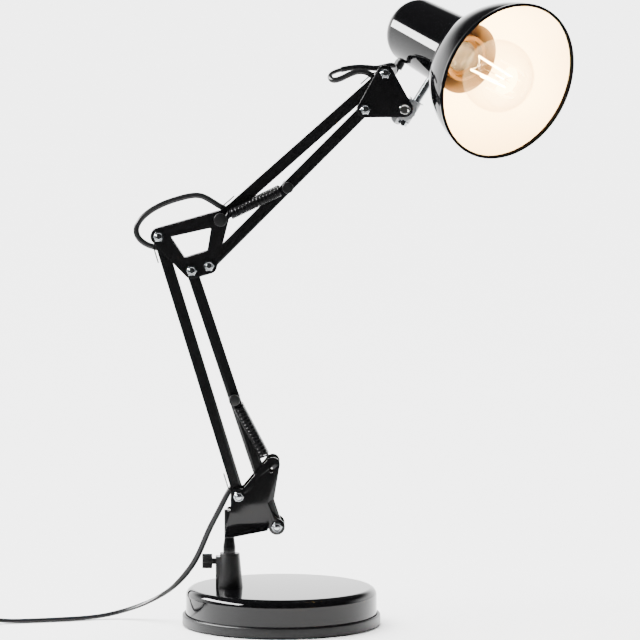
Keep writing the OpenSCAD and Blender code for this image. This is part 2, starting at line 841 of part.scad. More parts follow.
module swivel_stud() {
    foot = barrel_low + swivel_washer_t + swivel_nut_h + bolt_end + 2 * run_fit;
    top = neck_on_stud + shade_wall + neck_rise;
    color("#a4a5a6")
        on_stud() {
            translate([0, 0, -foot])
                cylinder(d = stud_d, h = foot + top);
            translate([0, 0, top])
                cylinder(d = stud_head_d, h = stud_head_h);
        }
}
// Rise of the neck's inner wall beside the stud, which the stud's head clears
neck_rise = 0.7;
module swivel_spacer() {
    foot = barrel_high + swivel_washer_t + 2 * run_fit;
    color("#b4b5b6")
        on_stud()
            translate([0, 0, foot])
                difference() {
                    cylinder(d = spacer_d, h = neck_on_stud - foot - seat);
                    translate([0, 0, -over])
                        cylinder(d = stud_d + 2 * run_fit, h = stud_reach);
                }
}
module swivel_fasteners() {
    low = barrel_low + swivel_washer_t + run_fit;
    color("#b9bab8")
        on_stud()
            difference() {
                union() {
                    translate([0, 0, barrel_high + run_fit])
                        cylinder(d = top_washer_d, h = swivel_washer_t);
                    translate([0, 0, -low])
                        cylinder(d = swivel_washer_d - 2 * gap, h = swivel_washer_t);
                    translate([0, 0, -low - swivel_nut_h])
                        cylinder(d = tilt_nut_af / cos(30), h = swivel_nut_h, $fn = 6);
                }
                translate([0, 0, -stud_reach])
                    cylinder(d = stud_d + 2 * seat, h = 2 * stud_reach);
            }
}

// Shade: local Z runs to the mouth with its zero at the stud, local X runs to the stud's foot
module in_shade() {
    on_stud()
        rotate([0, 0, -shade_turn])
            translate([0, 0, stud_reach])
                rotate([0, 90 - neck_slope, 0])
                    children();
}
bell_steps = 16;
function bell(off) = let (
        a = [neck_front_d / 2, crease_z],
        b = [rim_d / 2, rim_ahead],
        half = norm(b - a) / 2,
        r = (half * half + bell_bulge * bell_bulge) / (2 * bell_bulge),
        out = heading(a, b) - 90,
        middle = (a + b) / 2 + polar(bell_bulge - r, out),
        spread = asin(half / r))
    [for (i = [0 : bell_steps]) middle + polar(r - off, out - spread + 2 * spread * i / bell_steps)];
function shade_line(off) = let (
        r = neck_r(end_z) - off,
        round = neck_end_r - off)
    concat([[0, end_z + off]],
        [for (i = [0 : 8]) let (a = -90 + 90 * i / 8)
            [r - round + round * cos(a), end_z + off + round + round * sin(a)]],
        [[neck_front_d / 2 - off, crease_z + off / 2]],
        bell(off));
gland_z = -45;
gland_d = 8.5;
gland_out = 6;
gland_in = 3;
gland_x = neck_r(gland_z);
module shade() {
    inside = shade_line(shade_wall);
    color("#0b0b0c")
        difference() {
            in_shade()
                rotate_extrude($fn = 144) {
                    polygon(concat(shade_line(0), [for (i = [len(inside) - 1 : -1 : 0]) inside[i]]));
                    translate([rim_d / 2 - bead_d / 2, rim_ahead - bead_d / 2])
                        circle(d = bead_d, $fn = 24);
                }
            on_stud()
                translate([0, 0, barrel_high])
                    cylinder(d = stud_d + 2 * seat, h = stud_reach - barrel_high);
            in_shade()
                translate([0, 0, gland_z])
                    rotate([0, 90, 0])
                        cylinder(d = gland_d - 1 + 2 * seat, h = neck_front_d);
        }
}
module cord_gland() {
    color("#141415")
        in_shade()
            translate([gland_x, 0, gland_z])
                rotate([0, 90, 0])
                    difference() {
                        union() {
                            translate([0, 0, gap])
                                cylinder(d = gland_d, h = gland_out);
                            translate([0, 0, -gland_in])
                                cylinder(d = gland_d - 1, h = gland_in + over);
                        }
                        translate([0, 0, -gland_in - over])
                            cylinder(d = cord_w + 4 * gap, h = gland_in + gland_out + 3 * over);
                    }
}

// Lampholder on a round plate that is pressed into the neck
bracket_z = end_z + 10;
bracket_t = 1.5;
holder_z = 25;
holder_back = holder_z - holder_l;
nipple_d = 10;
bulb_tip = rim_ahead + bulb_ahead;
bulb_foot = bulb_tip - bulb_l;
cap_top = bulb_foot + cap_l;
shell_t = 0.35;
shell_fit = 0.1;
function end_r(z) = let (round = neck_end_r - shade_wall, rise = end_z + neck_end_r - z)
    neck_r(end_z) - neck_end_r + sqrt(round * round - rise * rise) - 0.1;
module holder_bracket() {
    color("#8d8d8b")
        in_shade()
            difference() {
                translate([0, 0, bracket_z])
                    cylinder(r1 = end_r(bracket_z), r2 = end_r(bracket_z + bracket_t), h = bracket_t);
                translate([0, 0, bracket_z - over])
                    cylinder(d = nipple_d + 2 * seat, h = bracket_t + 2 * over);
            }
}
module lampholder() {
    bore = cap_d / 2 + shell_fit + shell_t + seat;
    color("#1a1714")
        in_shade()
            difference() {
                union() {
                    translate([0, 0, holder_back])
                        cylinder(d = holder_d, h = holder_l);
                    translate([0, 0, bracket_z])
                        cylinder(d = nipple_d, h = holder_back - bracket_z + over);
                }
                translate([0, 0, bulb_foot - 4])
                    cylinder(r = bore, h = bulb_l);
                translate([0, 0, cap_top - over])
                    cylinder(r = holder_d / 2 - holder_wall, h = bulb_l);
                translate([0, 0, bracket_z - over])
                    cylinder(d = nipple_d / 2, h = holder_l);
            }
}
module holder_contacts() {
    outer = cap_d / 2 + shell_fit + shell_t;
    color("#b08d3e")
        in_shade() {
            translate([0, 0, bulb_foot + over])
                difference() {
                    cylinder(r = outer, h = cap_l - 3 * over);
                    translate([0, 0, -over])
                        cylinder(r = outer - shell_t, h = cap_l + over);
                }
            translate([0, 0, bulb_foot - 4 + seat])
                cylinder(d = 8, h = 3.7);
        }
}
glass_r = bulb_d / 2;
glass_z = bulb_tip - glass_r;
glass_foot_r = 15;
function glass_line(off) = let (
        a = polar(glass_r - off, -30) + [0, glass_z],
        b = a + [-5, -8.7],
        c = [glass_foot_r + 0.4 - off, glass_z - 31],
        d = [glass_foot_r - off, cap_top + seat])
    concat([for (i = [0 : 20]) polar(glass_r - off, 90 - 6 * i) + [0, glass_z]],
        [for (i = [1 : 10]) let (t = i / 10, u = 1 - t)
            u * u * u * a + 3 * u * u * t * b + 3 * u * t * t * c + t * t * t * d]);
module bulb_glass() {
    inside = glass_line(glass_t);
    color("#e8e6dc")
        in_shade()
            rotate_extrude()
                polygon(concat(glass_line(0), [for (i = [len(inside) - 1 : -1 : 0]) inside[i]]));
}
module bulb_cap() {
    color("#c2c2be")
        in_shade() {
            translate([0, 0, bulb_foot + 2.5])
                cylinder(d = cap_d, h = cap_l - 2.5);
            translate([0, 0, bulb_foot])
                cylinder(d1 = 10, d2 = 18, h = 2.5);
        }
}
// Glass stem on the cap with four light sticks round it, leaning in to the top
stick_d = 1.6;
stick_foot = [9, glass_z - 25];
stick_top = [7, glass_z + 10];
module bulb_filaments() {
    foot = cap_top + seat;
    color("#f1d9a0")
        in_shade() {
            translate([0, 0, foot])
                cylinder(r = glass_foot_r - glass_t - gap, h = 1);
            translate([0, 0, foot])
                cylinder(r = 4, h = stick_foot[1] - foot);
            for (end = [stick_foot, stick_top])
                translate([0, 0, end[1] - 0.5])
                    cylinder(r = end[0] + stick_d / 2, h = 1);
            for (i = [0 : 3])
                rotate(45 + 90 * i)
                    translate([stick_foot[0], 0, stick_foot[1]])
                        rotate([0, 90 - heading(stick_foot, stick_top), 0])
                            cylinder(d = stick_d, h = norm(stick_top - stick_foot));
        }
}

// Cords: a flat two-core lead, led through the rear lower bar and the top bar
lower_dir = unit(C - A);
upper_dir = unit(G - E);
cord_in = [13, 10];
bar_cord_in = 13.9;
elbow_route = [[-108.5, 0, 316.5], [-117.5, 0, 321], [-122.5, 0, 329.5], [-119.5, 0, 338],
    [-109.5, 0, 347.5], [-97, 0, 353.5], [-84, 0, 357.5], [-72, 0, 360.5], [-65, 0, 360],
    [-57, 0, 354.5], [-49, 0, 349]];
head_route = [[95, 11.5, 468], [81.5, 13.5, 464.5], [74.5, 13.5, 465], [62.5, 13.5, 465.5], [50, 12, 463.5],
    [42, 8.5, 460.5], [40.5, 4, 457.5], [43, 0, 455], [49, 0, 456], [59, 0, 461],
    [67, 0, 462.5], [74.5, 0, 460]];
supply_route = [[-40.2, 0, 117], [-44.8, 0, 111], [-52.5, 1, 94.5], [-59.5, 3, 82], [-65, 5, 68.5],
    [-71, 8, 54], [-79.5, 11, 41.5], [-90, 14, 29.5], [-102, 20, 20.5], [-117, 26, 12.5], [-132, 30, 7],
    [-149, 30, 2.6], [-167, 22, 1.9], [-183, 16.5, 1.9], [-208, 10, 1.9], [-231, 5, 1.9], [-242, 4, 4.2],
    [-249.2, 4, 6]];
module cord(pts, sides) {
    color("#161617")
        sweep(pts, cord_w, cord_t, sides, [0, 1, 0]);
}
module elbow_cord() {
    cord(smooth(concat([for (l = cord_in) at(C - l * lower_dir)], elbow_route,
        [at(E + cord_in[1] * upper_dir), at(E + cord_in[0] * upper_dir)]), 2), 10);
}
// Place on the shade's outside, local x and z, in world coordinates
function turn_y(v, a) = [v[0] * cos(a) + v[2] * sin(a), v[1], v[2] * cos(a) - v[0] * sin(a)];
function turn_z(v, a) = [v[0] * cos(a) - v[1] * sin(a), v[0] * sin(a) + v[1] * cos(a), v[2]];
function shade_point(x, z) = at(stud_foot)
    + turn_y(turn_z([0, 0, stud_reach] + turn_y([x, 0, z], 90 - neck_slope), -shade_turn), 90 - stud_rise);
module head_cord() {
    cord(smooth(concat([for (x = [-2, 5, 12]) shade_point(gland_x + x, gland_z)], head_route,
        [at(G - cord_in[1] * upper_dir), at(G - cord_in[0] * upper_dir)]), 2), 10);
}
module bar_cord(p, q) {
    color("#161617")
        along(p, q)
            translate([bar_cord_in, 0, 0])
                rotate([0, 90, 0])
                    cylinder(d = cord_t, h = norm(q - p) - 2 * bar_cord_in);
}
module lower_bar_cord() bar_cord(A, C);
module upper_bar_cord() bar_cord(E, G);
module supply_cord() {
    cord(smooth(concat([for (l = cord_in) at(A + l * lower_dir)], supply_route), 2), 10);
}

// Spare lead: two layers of turns, in on the lower one and out on the upper one, then the plug
switch_x = -250;
switch_y = 4;
switch_entry = 6;
coil_x = -302;
coil_y = 60;
coil_z = 3.1;
coil_pitch = cord_w + coil_gap;
coil_outer_r = coil_inner_r + coil_pitch * coil_turns;
loop_steps = 24;
coil_n = coil_turns * loop_steps;
climb_n = loop_steps / 2;
function coil_r(i) = i <= coil_n ? coil_outer_r - coil_pitch * i / loop_steps
    : i <= coil_n + climb_n / 2 ? coil_r(coil_n) - coil_pitch * (i - coil_n) / loop_steps
    : coil_r(2 * coil_n + climb_n - i);
function coil_rise(i) = (cord_t + coil_gap) * max(0, min(1, (i - coil_n) / climb_n));
function coil_point(i) = let (a = 180 - 360 * i / loop_steps)
    [coil_x + coil_r(i) * cos(a), coil_y + coil_r(i) * sin(a), coil_z + coil_rise(i)];
plug_y = 114;
plug_x = -338;
plug_z = plug_t / 2;
coil_lead = [[switch_x - switch_l - 0.8, switch_y, switch_entry], [-318, 4.5, 4.2], [-330, 10, coil_z],
    [-338, 25, coil_z], [-340.2, 43, coil_z]];
coil_tail = [[-340, 80, 7.1], [-339, 98, 6.9], [plug_x, plug_y - 0.4, plug_z]];
module cord_coil() {
    run = concat(coil_lead, [for (i = [0 : 2 * coil_n + climb_n]) coil_point(i)], coil_tail);
    echo(coil_least_gap = least_gap(run, loop_steps / 2) - cord_t);
    color("#161617")
        sweep(run, cord_w, cord_t, 6, [0, 1, 0]);
}
tie_turn = 225;
tie_w = 6;
tie_t = 0.8;
tie_under = 0.6;
tie_over = 0.8;
module coil_tie() {
    inner = coil_inner_r - cord_w / 2 - 2 * gap;
    span = coil_outer_r + cord_w / 2 + 2 * gap - inner;
    high = 2 * cord_t + coil_gap + tie_under + tie_over;
    color("#26262a")
        translate([coil_x, coil_y, 0])
            rotate(tie_turn)
                translate([inner - tie_t, -tie_w / 2, coil_z - cord_t / 2 - tie_under - tie_t])
                    difference() {
                        cube([span + 2 * tie_t, tie_w, high + 2 * tie_t]);
                        translate([tie_t, -over, tie_t])
                            cube([span, tie_w + 2 * over, high]);
                    }
}

// Cord switch on the lead
case_split = 9;
case_wall = 2;
rocker_z = 12;
rocker_play = 0.8;
rocker_pin_d = 2.6;
rocker_pin_l = rocker_w + 3;
lug_t = 2;
module in_switch() {
    translate([switch_x - switch_l / 2, switch_y, 0])
        children();
}
module box(l, w, z0, z1) {
    translate([-l / 2, -w / 2, z0])
        cube([l, w, z1 - z0]);
}
module switch_lower_case() {
    color("#161617")
        in_switch()
            difference() {
                box(switch_l, switch_w, 0, case_split);
                box(switch_l - 4 * case_wall, switch_w - 2 * case_wall, case_wall, switch_h);
            }
}
module switch_upper_case() {
    color("#161617")
        in_switch()
            difference() {
                union() {
                    difference() {
                        box(switch_l, switch_w, case_split + seat, switch_h);
                        box(switch_l - 4 * case_wall, switch_w - 2 * case_wall, 0, switch_h - case_wall);
                    }
                    for (y = [-1, 1])
                        translate([0, y * (rocker_w / 2 + gap + lug_t / 2), 0])
                            box(3 * lug_t, lug_t, rocker_z - lug_t, switch_h - over);
                }
                box(rocker_l + 2 * rocker_play, rocker_w + 2 * gap, 0, switch_h + over);
                translate([0, 0, rocker_z])
                    rotate([90, 0, 0])
                        cylinder(d = rocker_pin_d + 2 * run_fit, h = switch_w - 4 * case_wall,
                            center = true);
            }
}
module switch_rocker() {
    color("#2a2a2c")
        in_switch() {
            box(rocker_l, rocker_w, rocker_z - lug_t, switch_h + over);
            translate([0, 0, rocker_z])
                rotate([90, 0, 0])
                    cylinder(d = rocker_pin_d, h = rocker_pin_l, center = true);
        }
}

// Plug
pin_pitch = 18.6;
plug_pin_l = 19;
plug_pin_d = 4;
pin_seat = 8;
module plug_body() {
    r = plug_t / 2;
    color("#161617")
        translate([plug_x, plug_y, plug_z])
            rotate([-90, 0, 0])
                difference() {
                    linear_extrude(plug_l) {
                        square([plug_w - plug_t, plug_t], center = true);
                        for (x = [-1, 1])
                            translate([x * (plug_w / 2 - r), 0])
                                circle(r);
                    }
                    for (x = [-1, 1])
                        translate([x * pin_pitch / 2, 0, plug_l - pin_seat])
                            cylinder(d = plug_pin_d + 2 * seat, h = pin_seat + over);
                }
}
module plug_pins() {
    color("#c8c8c4")
        translate([plug_x, plug_y + plug_l - pin_seat + gap, plug_z])
            rotate([-90, 0, 0])
                for (x = [-1, 1])
                    translate([x * pin_pitch / 2, 0, 0]) {
                        cylinder(d = plug_pin_d, h = pin_seat + plug_pin_l - 2);
                        translate([0, 0, pin_seat + plug_pin_l - 2])
                            cylinder(d1 = plug_pin_d, d2 = plug_pin_d / 2, h = 2);
                    }
}

base_tray();
base_cover();
ballast();
foot_pad();
tie_screw();
clamp_post();
post_screw();
clamp_nut();
thumbscrew();
bracket();
bracket_bolts();
bracket_nuts();
bracket_spacers();
lower_rear_bar();
lower_front_bar();
lower_spring_pin();
lower_spring_front();
lower_spring_rear();
elbow_plate_front();
elbow_plate_rear();
elbow_bolts();
elbow_nuts();
elbow_washers();
elbow_spring_pin();
upper_top_bar();
upper_bottom_bar();
upper_spring_pin();
upper_spring_front();
upper_spring_rear();
head_plate_front();
head_plate_rear();
head_bolts();
head_nuts();
head_washers();
tilt_bolt();
knuckle();
swivel_stud();
swivel_spacer();
swivel_fasteners();
shade();
holder_bracket();
lampholder();
holder_contacts();
bulb_glass();
bulb_cap();
bulb_filaments();
cord_gland();
head_cord();
elbow_cord();
lower_bar_cord();
upper_bar_cord();
supply_cord();
switch_lower_case();
switch_upper_case();
switch_rocker();
cord_coil();
coil_tie();
plug_body();
plug_pins();
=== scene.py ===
"""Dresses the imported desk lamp: lead, springs, base, shade, bulb, finishes and a pale studio."""
import json
import math

import bmesh
import bpy
from mathutils import Matrix, Vector
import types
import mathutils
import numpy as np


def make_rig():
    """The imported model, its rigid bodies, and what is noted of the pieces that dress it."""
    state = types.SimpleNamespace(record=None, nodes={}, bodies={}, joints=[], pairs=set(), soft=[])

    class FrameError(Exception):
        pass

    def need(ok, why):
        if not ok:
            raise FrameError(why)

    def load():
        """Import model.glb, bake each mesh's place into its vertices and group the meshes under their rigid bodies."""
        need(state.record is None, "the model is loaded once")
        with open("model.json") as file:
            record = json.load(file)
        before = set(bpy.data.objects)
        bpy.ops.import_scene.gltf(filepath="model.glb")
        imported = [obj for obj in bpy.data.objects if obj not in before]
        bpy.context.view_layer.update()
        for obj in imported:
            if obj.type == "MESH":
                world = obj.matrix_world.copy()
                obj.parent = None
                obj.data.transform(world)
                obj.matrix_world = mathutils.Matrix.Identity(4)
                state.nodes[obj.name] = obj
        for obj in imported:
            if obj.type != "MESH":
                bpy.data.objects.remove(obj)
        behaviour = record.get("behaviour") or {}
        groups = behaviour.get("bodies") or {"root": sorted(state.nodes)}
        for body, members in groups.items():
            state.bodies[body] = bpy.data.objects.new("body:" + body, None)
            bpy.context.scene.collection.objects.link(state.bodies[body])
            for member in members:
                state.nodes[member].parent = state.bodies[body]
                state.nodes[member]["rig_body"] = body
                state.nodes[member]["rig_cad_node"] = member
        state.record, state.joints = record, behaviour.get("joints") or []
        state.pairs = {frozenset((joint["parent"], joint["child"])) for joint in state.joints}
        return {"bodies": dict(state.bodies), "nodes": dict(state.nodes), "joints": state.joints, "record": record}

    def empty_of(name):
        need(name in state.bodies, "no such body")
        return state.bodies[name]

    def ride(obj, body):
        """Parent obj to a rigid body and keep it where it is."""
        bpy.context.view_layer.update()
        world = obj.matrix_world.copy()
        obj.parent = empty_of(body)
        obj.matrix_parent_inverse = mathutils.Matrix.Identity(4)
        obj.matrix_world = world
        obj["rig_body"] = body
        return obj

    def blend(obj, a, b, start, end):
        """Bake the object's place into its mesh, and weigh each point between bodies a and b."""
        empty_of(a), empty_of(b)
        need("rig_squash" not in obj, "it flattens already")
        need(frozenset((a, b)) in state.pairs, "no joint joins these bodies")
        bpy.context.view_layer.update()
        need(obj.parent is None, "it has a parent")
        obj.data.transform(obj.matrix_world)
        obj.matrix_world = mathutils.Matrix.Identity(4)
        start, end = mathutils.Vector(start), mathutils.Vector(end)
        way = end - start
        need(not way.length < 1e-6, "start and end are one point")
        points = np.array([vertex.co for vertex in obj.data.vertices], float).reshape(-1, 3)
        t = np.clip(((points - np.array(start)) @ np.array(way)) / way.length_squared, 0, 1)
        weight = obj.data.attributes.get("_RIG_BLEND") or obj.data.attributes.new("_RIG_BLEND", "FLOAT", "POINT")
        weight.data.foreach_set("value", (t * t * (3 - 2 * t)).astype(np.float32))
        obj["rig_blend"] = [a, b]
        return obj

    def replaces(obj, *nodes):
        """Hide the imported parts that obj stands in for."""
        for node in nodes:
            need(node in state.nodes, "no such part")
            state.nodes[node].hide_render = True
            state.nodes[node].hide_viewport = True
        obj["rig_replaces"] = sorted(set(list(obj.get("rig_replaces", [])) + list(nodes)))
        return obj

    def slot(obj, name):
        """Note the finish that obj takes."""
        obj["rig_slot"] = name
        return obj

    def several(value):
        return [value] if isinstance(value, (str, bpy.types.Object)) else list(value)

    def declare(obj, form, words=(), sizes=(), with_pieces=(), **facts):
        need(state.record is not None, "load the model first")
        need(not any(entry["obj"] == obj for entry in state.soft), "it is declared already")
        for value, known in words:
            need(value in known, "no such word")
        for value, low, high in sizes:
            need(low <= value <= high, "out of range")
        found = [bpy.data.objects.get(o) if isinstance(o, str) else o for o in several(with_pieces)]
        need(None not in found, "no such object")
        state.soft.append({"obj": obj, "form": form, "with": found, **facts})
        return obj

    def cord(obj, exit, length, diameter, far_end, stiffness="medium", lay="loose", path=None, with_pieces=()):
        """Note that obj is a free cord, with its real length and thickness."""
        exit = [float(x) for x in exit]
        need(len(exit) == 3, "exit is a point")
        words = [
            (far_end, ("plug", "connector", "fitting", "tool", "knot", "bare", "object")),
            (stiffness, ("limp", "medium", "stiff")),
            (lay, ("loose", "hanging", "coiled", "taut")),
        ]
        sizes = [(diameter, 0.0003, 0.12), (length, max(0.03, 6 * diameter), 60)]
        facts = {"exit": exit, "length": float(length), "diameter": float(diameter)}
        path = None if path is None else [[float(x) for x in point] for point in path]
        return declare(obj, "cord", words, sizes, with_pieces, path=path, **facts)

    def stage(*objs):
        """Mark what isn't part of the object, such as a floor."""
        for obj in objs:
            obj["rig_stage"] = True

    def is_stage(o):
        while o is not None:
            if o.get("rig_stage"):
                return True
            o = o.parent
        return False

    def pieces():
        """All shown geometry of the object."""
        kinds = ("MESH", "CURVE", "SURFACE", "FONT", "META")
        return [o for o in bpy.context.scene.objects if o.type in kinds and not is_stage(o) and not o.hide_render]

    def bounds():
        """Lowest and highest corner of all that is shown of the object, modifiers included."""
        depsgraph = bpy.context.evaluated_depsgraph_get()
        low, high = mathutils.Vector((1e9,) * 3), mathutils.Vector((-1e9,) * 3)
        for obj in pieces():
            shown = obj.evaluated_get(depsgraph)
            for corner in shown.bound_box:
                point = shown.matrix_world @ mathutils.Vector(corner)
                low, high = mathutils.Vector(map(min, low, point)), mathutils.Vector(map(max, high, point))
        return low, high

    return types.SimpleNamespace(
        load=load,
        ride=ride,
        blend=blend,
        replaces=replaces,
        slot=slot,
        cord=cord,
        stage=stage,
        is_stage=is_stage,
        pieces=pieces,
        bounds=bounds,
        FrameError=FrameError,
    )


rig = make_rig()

bl_info = {
    "name": "Balanced-arm desk lamp",
    "version": (1, 0, 0),
    "blender": (4, 5, 0),
    "location": "3D View > Sidebar > Lamp",
    "description": "Dresses the desk lamp's solids with smooth pieces and real finishes",
    "category": "Object",
}

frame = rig.load()
CAD_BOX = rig.bounds()
MM = 0.001
FINISH = {}

# Places in the arms' plane, X and Z in mm, as in the part's source
REAR_PIVOT = (-35.5, 109.5)
FRONT_PIVOT = (-3.87, 83.887)
FRONT_TOP = (-74.314, 297.426)
BOTTOM_FOOT = (-59.971, 301.471)
BOTTOM_TOP = (69.753, 431.142)
TILT_BOLT = (102.468, 431.464)
LOWER_TOP = (-101.634, 325.816)
ELBOW_PIN = (-50.227, 340.266)
UPPER_TOP = (86.233, 460.996)
LOWER_PIN = (-38.895, 190.059)
UPPER_PIN = (5.379, 366.795)
LUG_CATCH = (-8.976, 132.264)
STUD_FOOT = (106.694, 428.792)
# The shade on its stud: angles in degrees, reach in mm
STUD_RISE = 57.7
STUD_REACH = 61.3
SHADE_TURN = 52.0
NECK_SLOPE = 2.1
# Across the arms, in mm: the springs' middles, then the outsides of the bracket and of a pair of plates
LOWER_SPRING_Y = 9.45
UPPER_SPRING_Y = 11.55
PLATE_OUT = 14.0
PAIR_OUT = 6.85
# The base cover, in mm
COVER_R = 80.0
COVER_FOOT = 4.0
COVER_TOP = 31.5
COVER_EDGE = 6.5
COVER_STEEL = 1.6
# The shade along its axis and out from it, in mm
NECK_END_Z = -62.0
NECK_ARC = 16.0
CREASE_Z = 24.0
CREASE_R = 31.0
RIM_Z = 84.0
RIM_R = 66.5
BELL_BULGE = 7.2
SHADE_STEEL = 0.8
BEAD_R = 1.3
BEAD_IN = 1.1
# The bulb's foot on the shade's axis, and the rest of the bulb up from that foot, in mm
BULB_FOOT = -6.0
CAP_R = 12.5
CAP_Z = 2.5
CAP_LONG = 22.4
GLOBE_R = 30.0
GLOBE_Z = 75.0
GLASS_FOOT_R = 15.0
GLASS_FOOT_Z = 25.02
GLASS_WALL = 0.8
STICK_FOOT = (9.0, 50.0)
STICK_TOP = (7.0, 85.0)
LIGHT_Z = 72.0
# The camera that took the picture: place in mm, turn and tilt in degrees, lens in mm
VIEW_PLACE = (-26.5, -3455.8, 553.6)
VIEW_TURN = 0.976
VIEW_TILT = 4.928
VIEW_LENS = 234.24

# Lines the flat lead follows, in mm
SUPPLY_ROUTE = [(-40.2, 0, 117), (-44.8, 0, 111), (-52.5, 1, 94.5), (-59.5, 3, 82), (-65, 5, 68.5),
    (-71, 8, 54), (-79.5, 11, 41.5), (-90, 14, 29.5), (-102, 20, 20.5), (-117, 26, 12.5), (-132, 30, 7),
    (-149, 30, 2.6), (-167, 22, 1.9), (-183, 16.5, 1.9), (-208, 10, 1.9), (-231, 5, 1.9), (-242, 4, 4.2),
    (-249.2, 4, 6)]
SWITCH_RUN = [(-250 - 6 * k, 4, 6) for k in range(1, 10)]
COIL_LEAD = [(-310.8, 4, 6), (-318, 4.5, 4.2), (-330, 10, 3.1), (-338, 25, 3.1), (-340.2, 43, 3.1)]
COIL_TAIL = [(-340, 80, 7.1), (-339, 98, 6.9), (-338, 113.6, 6.8)]
ELBOW_ROUTE = [(-108.5, 0, 316.5), (-117.5, 0, 321), (-122.5, 0, 329.5), (-119.5, 0, 338),
    (-109.5, 0, 347.5), (-97, 0, 353.5), (-84, 0, 357.5), (-72, 0, 360.5), (-65, 0, 360),
    (-57, 0, 354.5), (-49, 0, 349)]
HEAD_ROUTE = [(95, 13, 468), (81.5, 15.2, 464.5), (74.5, 15.2, 465), (62.5, 14.5, 465.5), (50, 12.5, 463.5),
    (42, 8.5, 460.5), (40.5, 4, 457.5), (43, 0, 455), (49, 0, 456), (59, 0, 461), (67, 0, 462.5),
    (74.5, 0, 460)]
# The coil of spare lead: its middle, the step between turns and between layers, and its inside, in mm
COIL_AT = (-302, 60, 3.1)
COIL_PITCH = 5.4
COIL_LAYER = 4.0
COIL_INNER = 20.5
# Where the lead enters the neck, in the shade's own coordinates, in mm
GLAND_R = 28.47
GLAND_Z = -45.0
# How deep a loop of lead starts in a tube's end, and how deep the tube's own lead ends, in mm
LOOP_IN = (13, 10)
BAR_LEAD_IN = 13.9
# Points in each span of a lead's route, sides of the lead, and steps round a large turned form
SPAN = 6
LEAD_SIDES = 14
ROUND = 192

# Springs: node, pin, far end, Y, what each end takes of the length in mm, the bodies they join, and the
# shares of the length between which they turn from one to the other, chosen to keep them straightest
SPRINGS = (
    ("lower_spring", LOWER_PIN, LUG_CATCH, LOWER_SPRING_Y, 7.0, 11.5,
        ("front_bar", "swivel_bracket"), (0.2, 1.05)),
    ("upper_spring", ELBOW_PIN, UPPER_PIN, UPPER_SPRING_Y, 9.0, 7.5,
        ("elbow", "bottom_bar"), (-0.05, 0.45)),
)
# Finishes of the solids that are shown as they are
LOOKS = {
    "grey_iron": ("ballast",),
    "cell_rubber": ("foot_pad",),
    "zinc_plate": ("tie_screw", "post_screw", "clamp_nut", "swivel_stud", "swivel_spacer", "swivel_fasteners",
        "holder_bracket"),
    "chrome": ("plug_pins",),
    "moulded_abs": ("cord_gland", "coil_tie"),
    "nylon": ("bracket_spacers", "elbow_washers", "head_washers"),
    "phenolic": ("lampholder",),
    "drawn_brass": ("holder_contacts",),
}
# Tubes and their axes: only their outer corners are rounded
TUBES = {
    "lower_rear_bar": (REAR_PIVOT, LOWER_TOP),
    "lower_front_bar": (FRONT_PIVOT, FRONT_TOP),
    "upper_top_bar": (ELBOW_PIN, UPPER_TOP),
    "upper_bottom_bar": (BOTTOM_FOOT, BOTTOM_TOP),
}
# Rounded edges: width in mm, finish and nodes
EDGES = (
    (0.9, "stove_enamel", tuple(TUBES)),
    (0.28, "stove_enamel", ("elbow_plate_front", "elbow_plate_rear", "head_plate_front", "head_plate_rear",
        "bracket")),
    (0.4, "moulded_abs", ("clamp_post",)),
    (0.25, "moulded_abs", ("thumbscrew",)),
    (0.45, "moulded_abs", ("lower_spring_pin", "elbow_spring_pin", "upper_spring_pin")),
    (0.25, "die_cast_zinc", ("knuckle",)),
    (0.35, "chrome", ("tilt_bolt",)),
    (0.5, "zinc_plate", ("bracket_bolts", "elbow_bolts", "head_bolts")),
    (0.5, "tray_enamel", ("base_tray",)),
    (1.2, "moulded_abs", ("switch_lower_case", "switch_upper_case")),
    (0.6, "moulded_abs", ("switch_rocker",)),
    (1.2, "moulded_abs", ("plug_body",)),
)


def linear(code):
    """sRGB hex to the linear colour that shaders take."""
    parts = [int(code[i:i + 2], 16) / 255 for i in (1, 3, 5)]
    return [p / 12.92 if p <= 0.04045 else ((p + 0.055) / 1.055) ** 2.4 for p in parts]


def put(tree, kind, sockets=None, **settings):
    """Adds a node with its settings, values and links."""
    made = tree.nodes.new(kind)
    for key, value in settings.items():
        setattr(made, key, value)
    for key, value in (sockets or {}).items():
        if isinstance(value, bpy.types.NodeSocket):
            tree.links.new(value, made.inputs[key])
        else:
            made.inputs[key].default_value = value
    return made


def shader(name):
    """An empty material, kept under its name, as its node tree."""
    made = bpy.data.materials.new(name)
    made.use_nodes = True
    made.node_tree.nodes.clear()
    FINISH[name] = made
    return made.node_tree


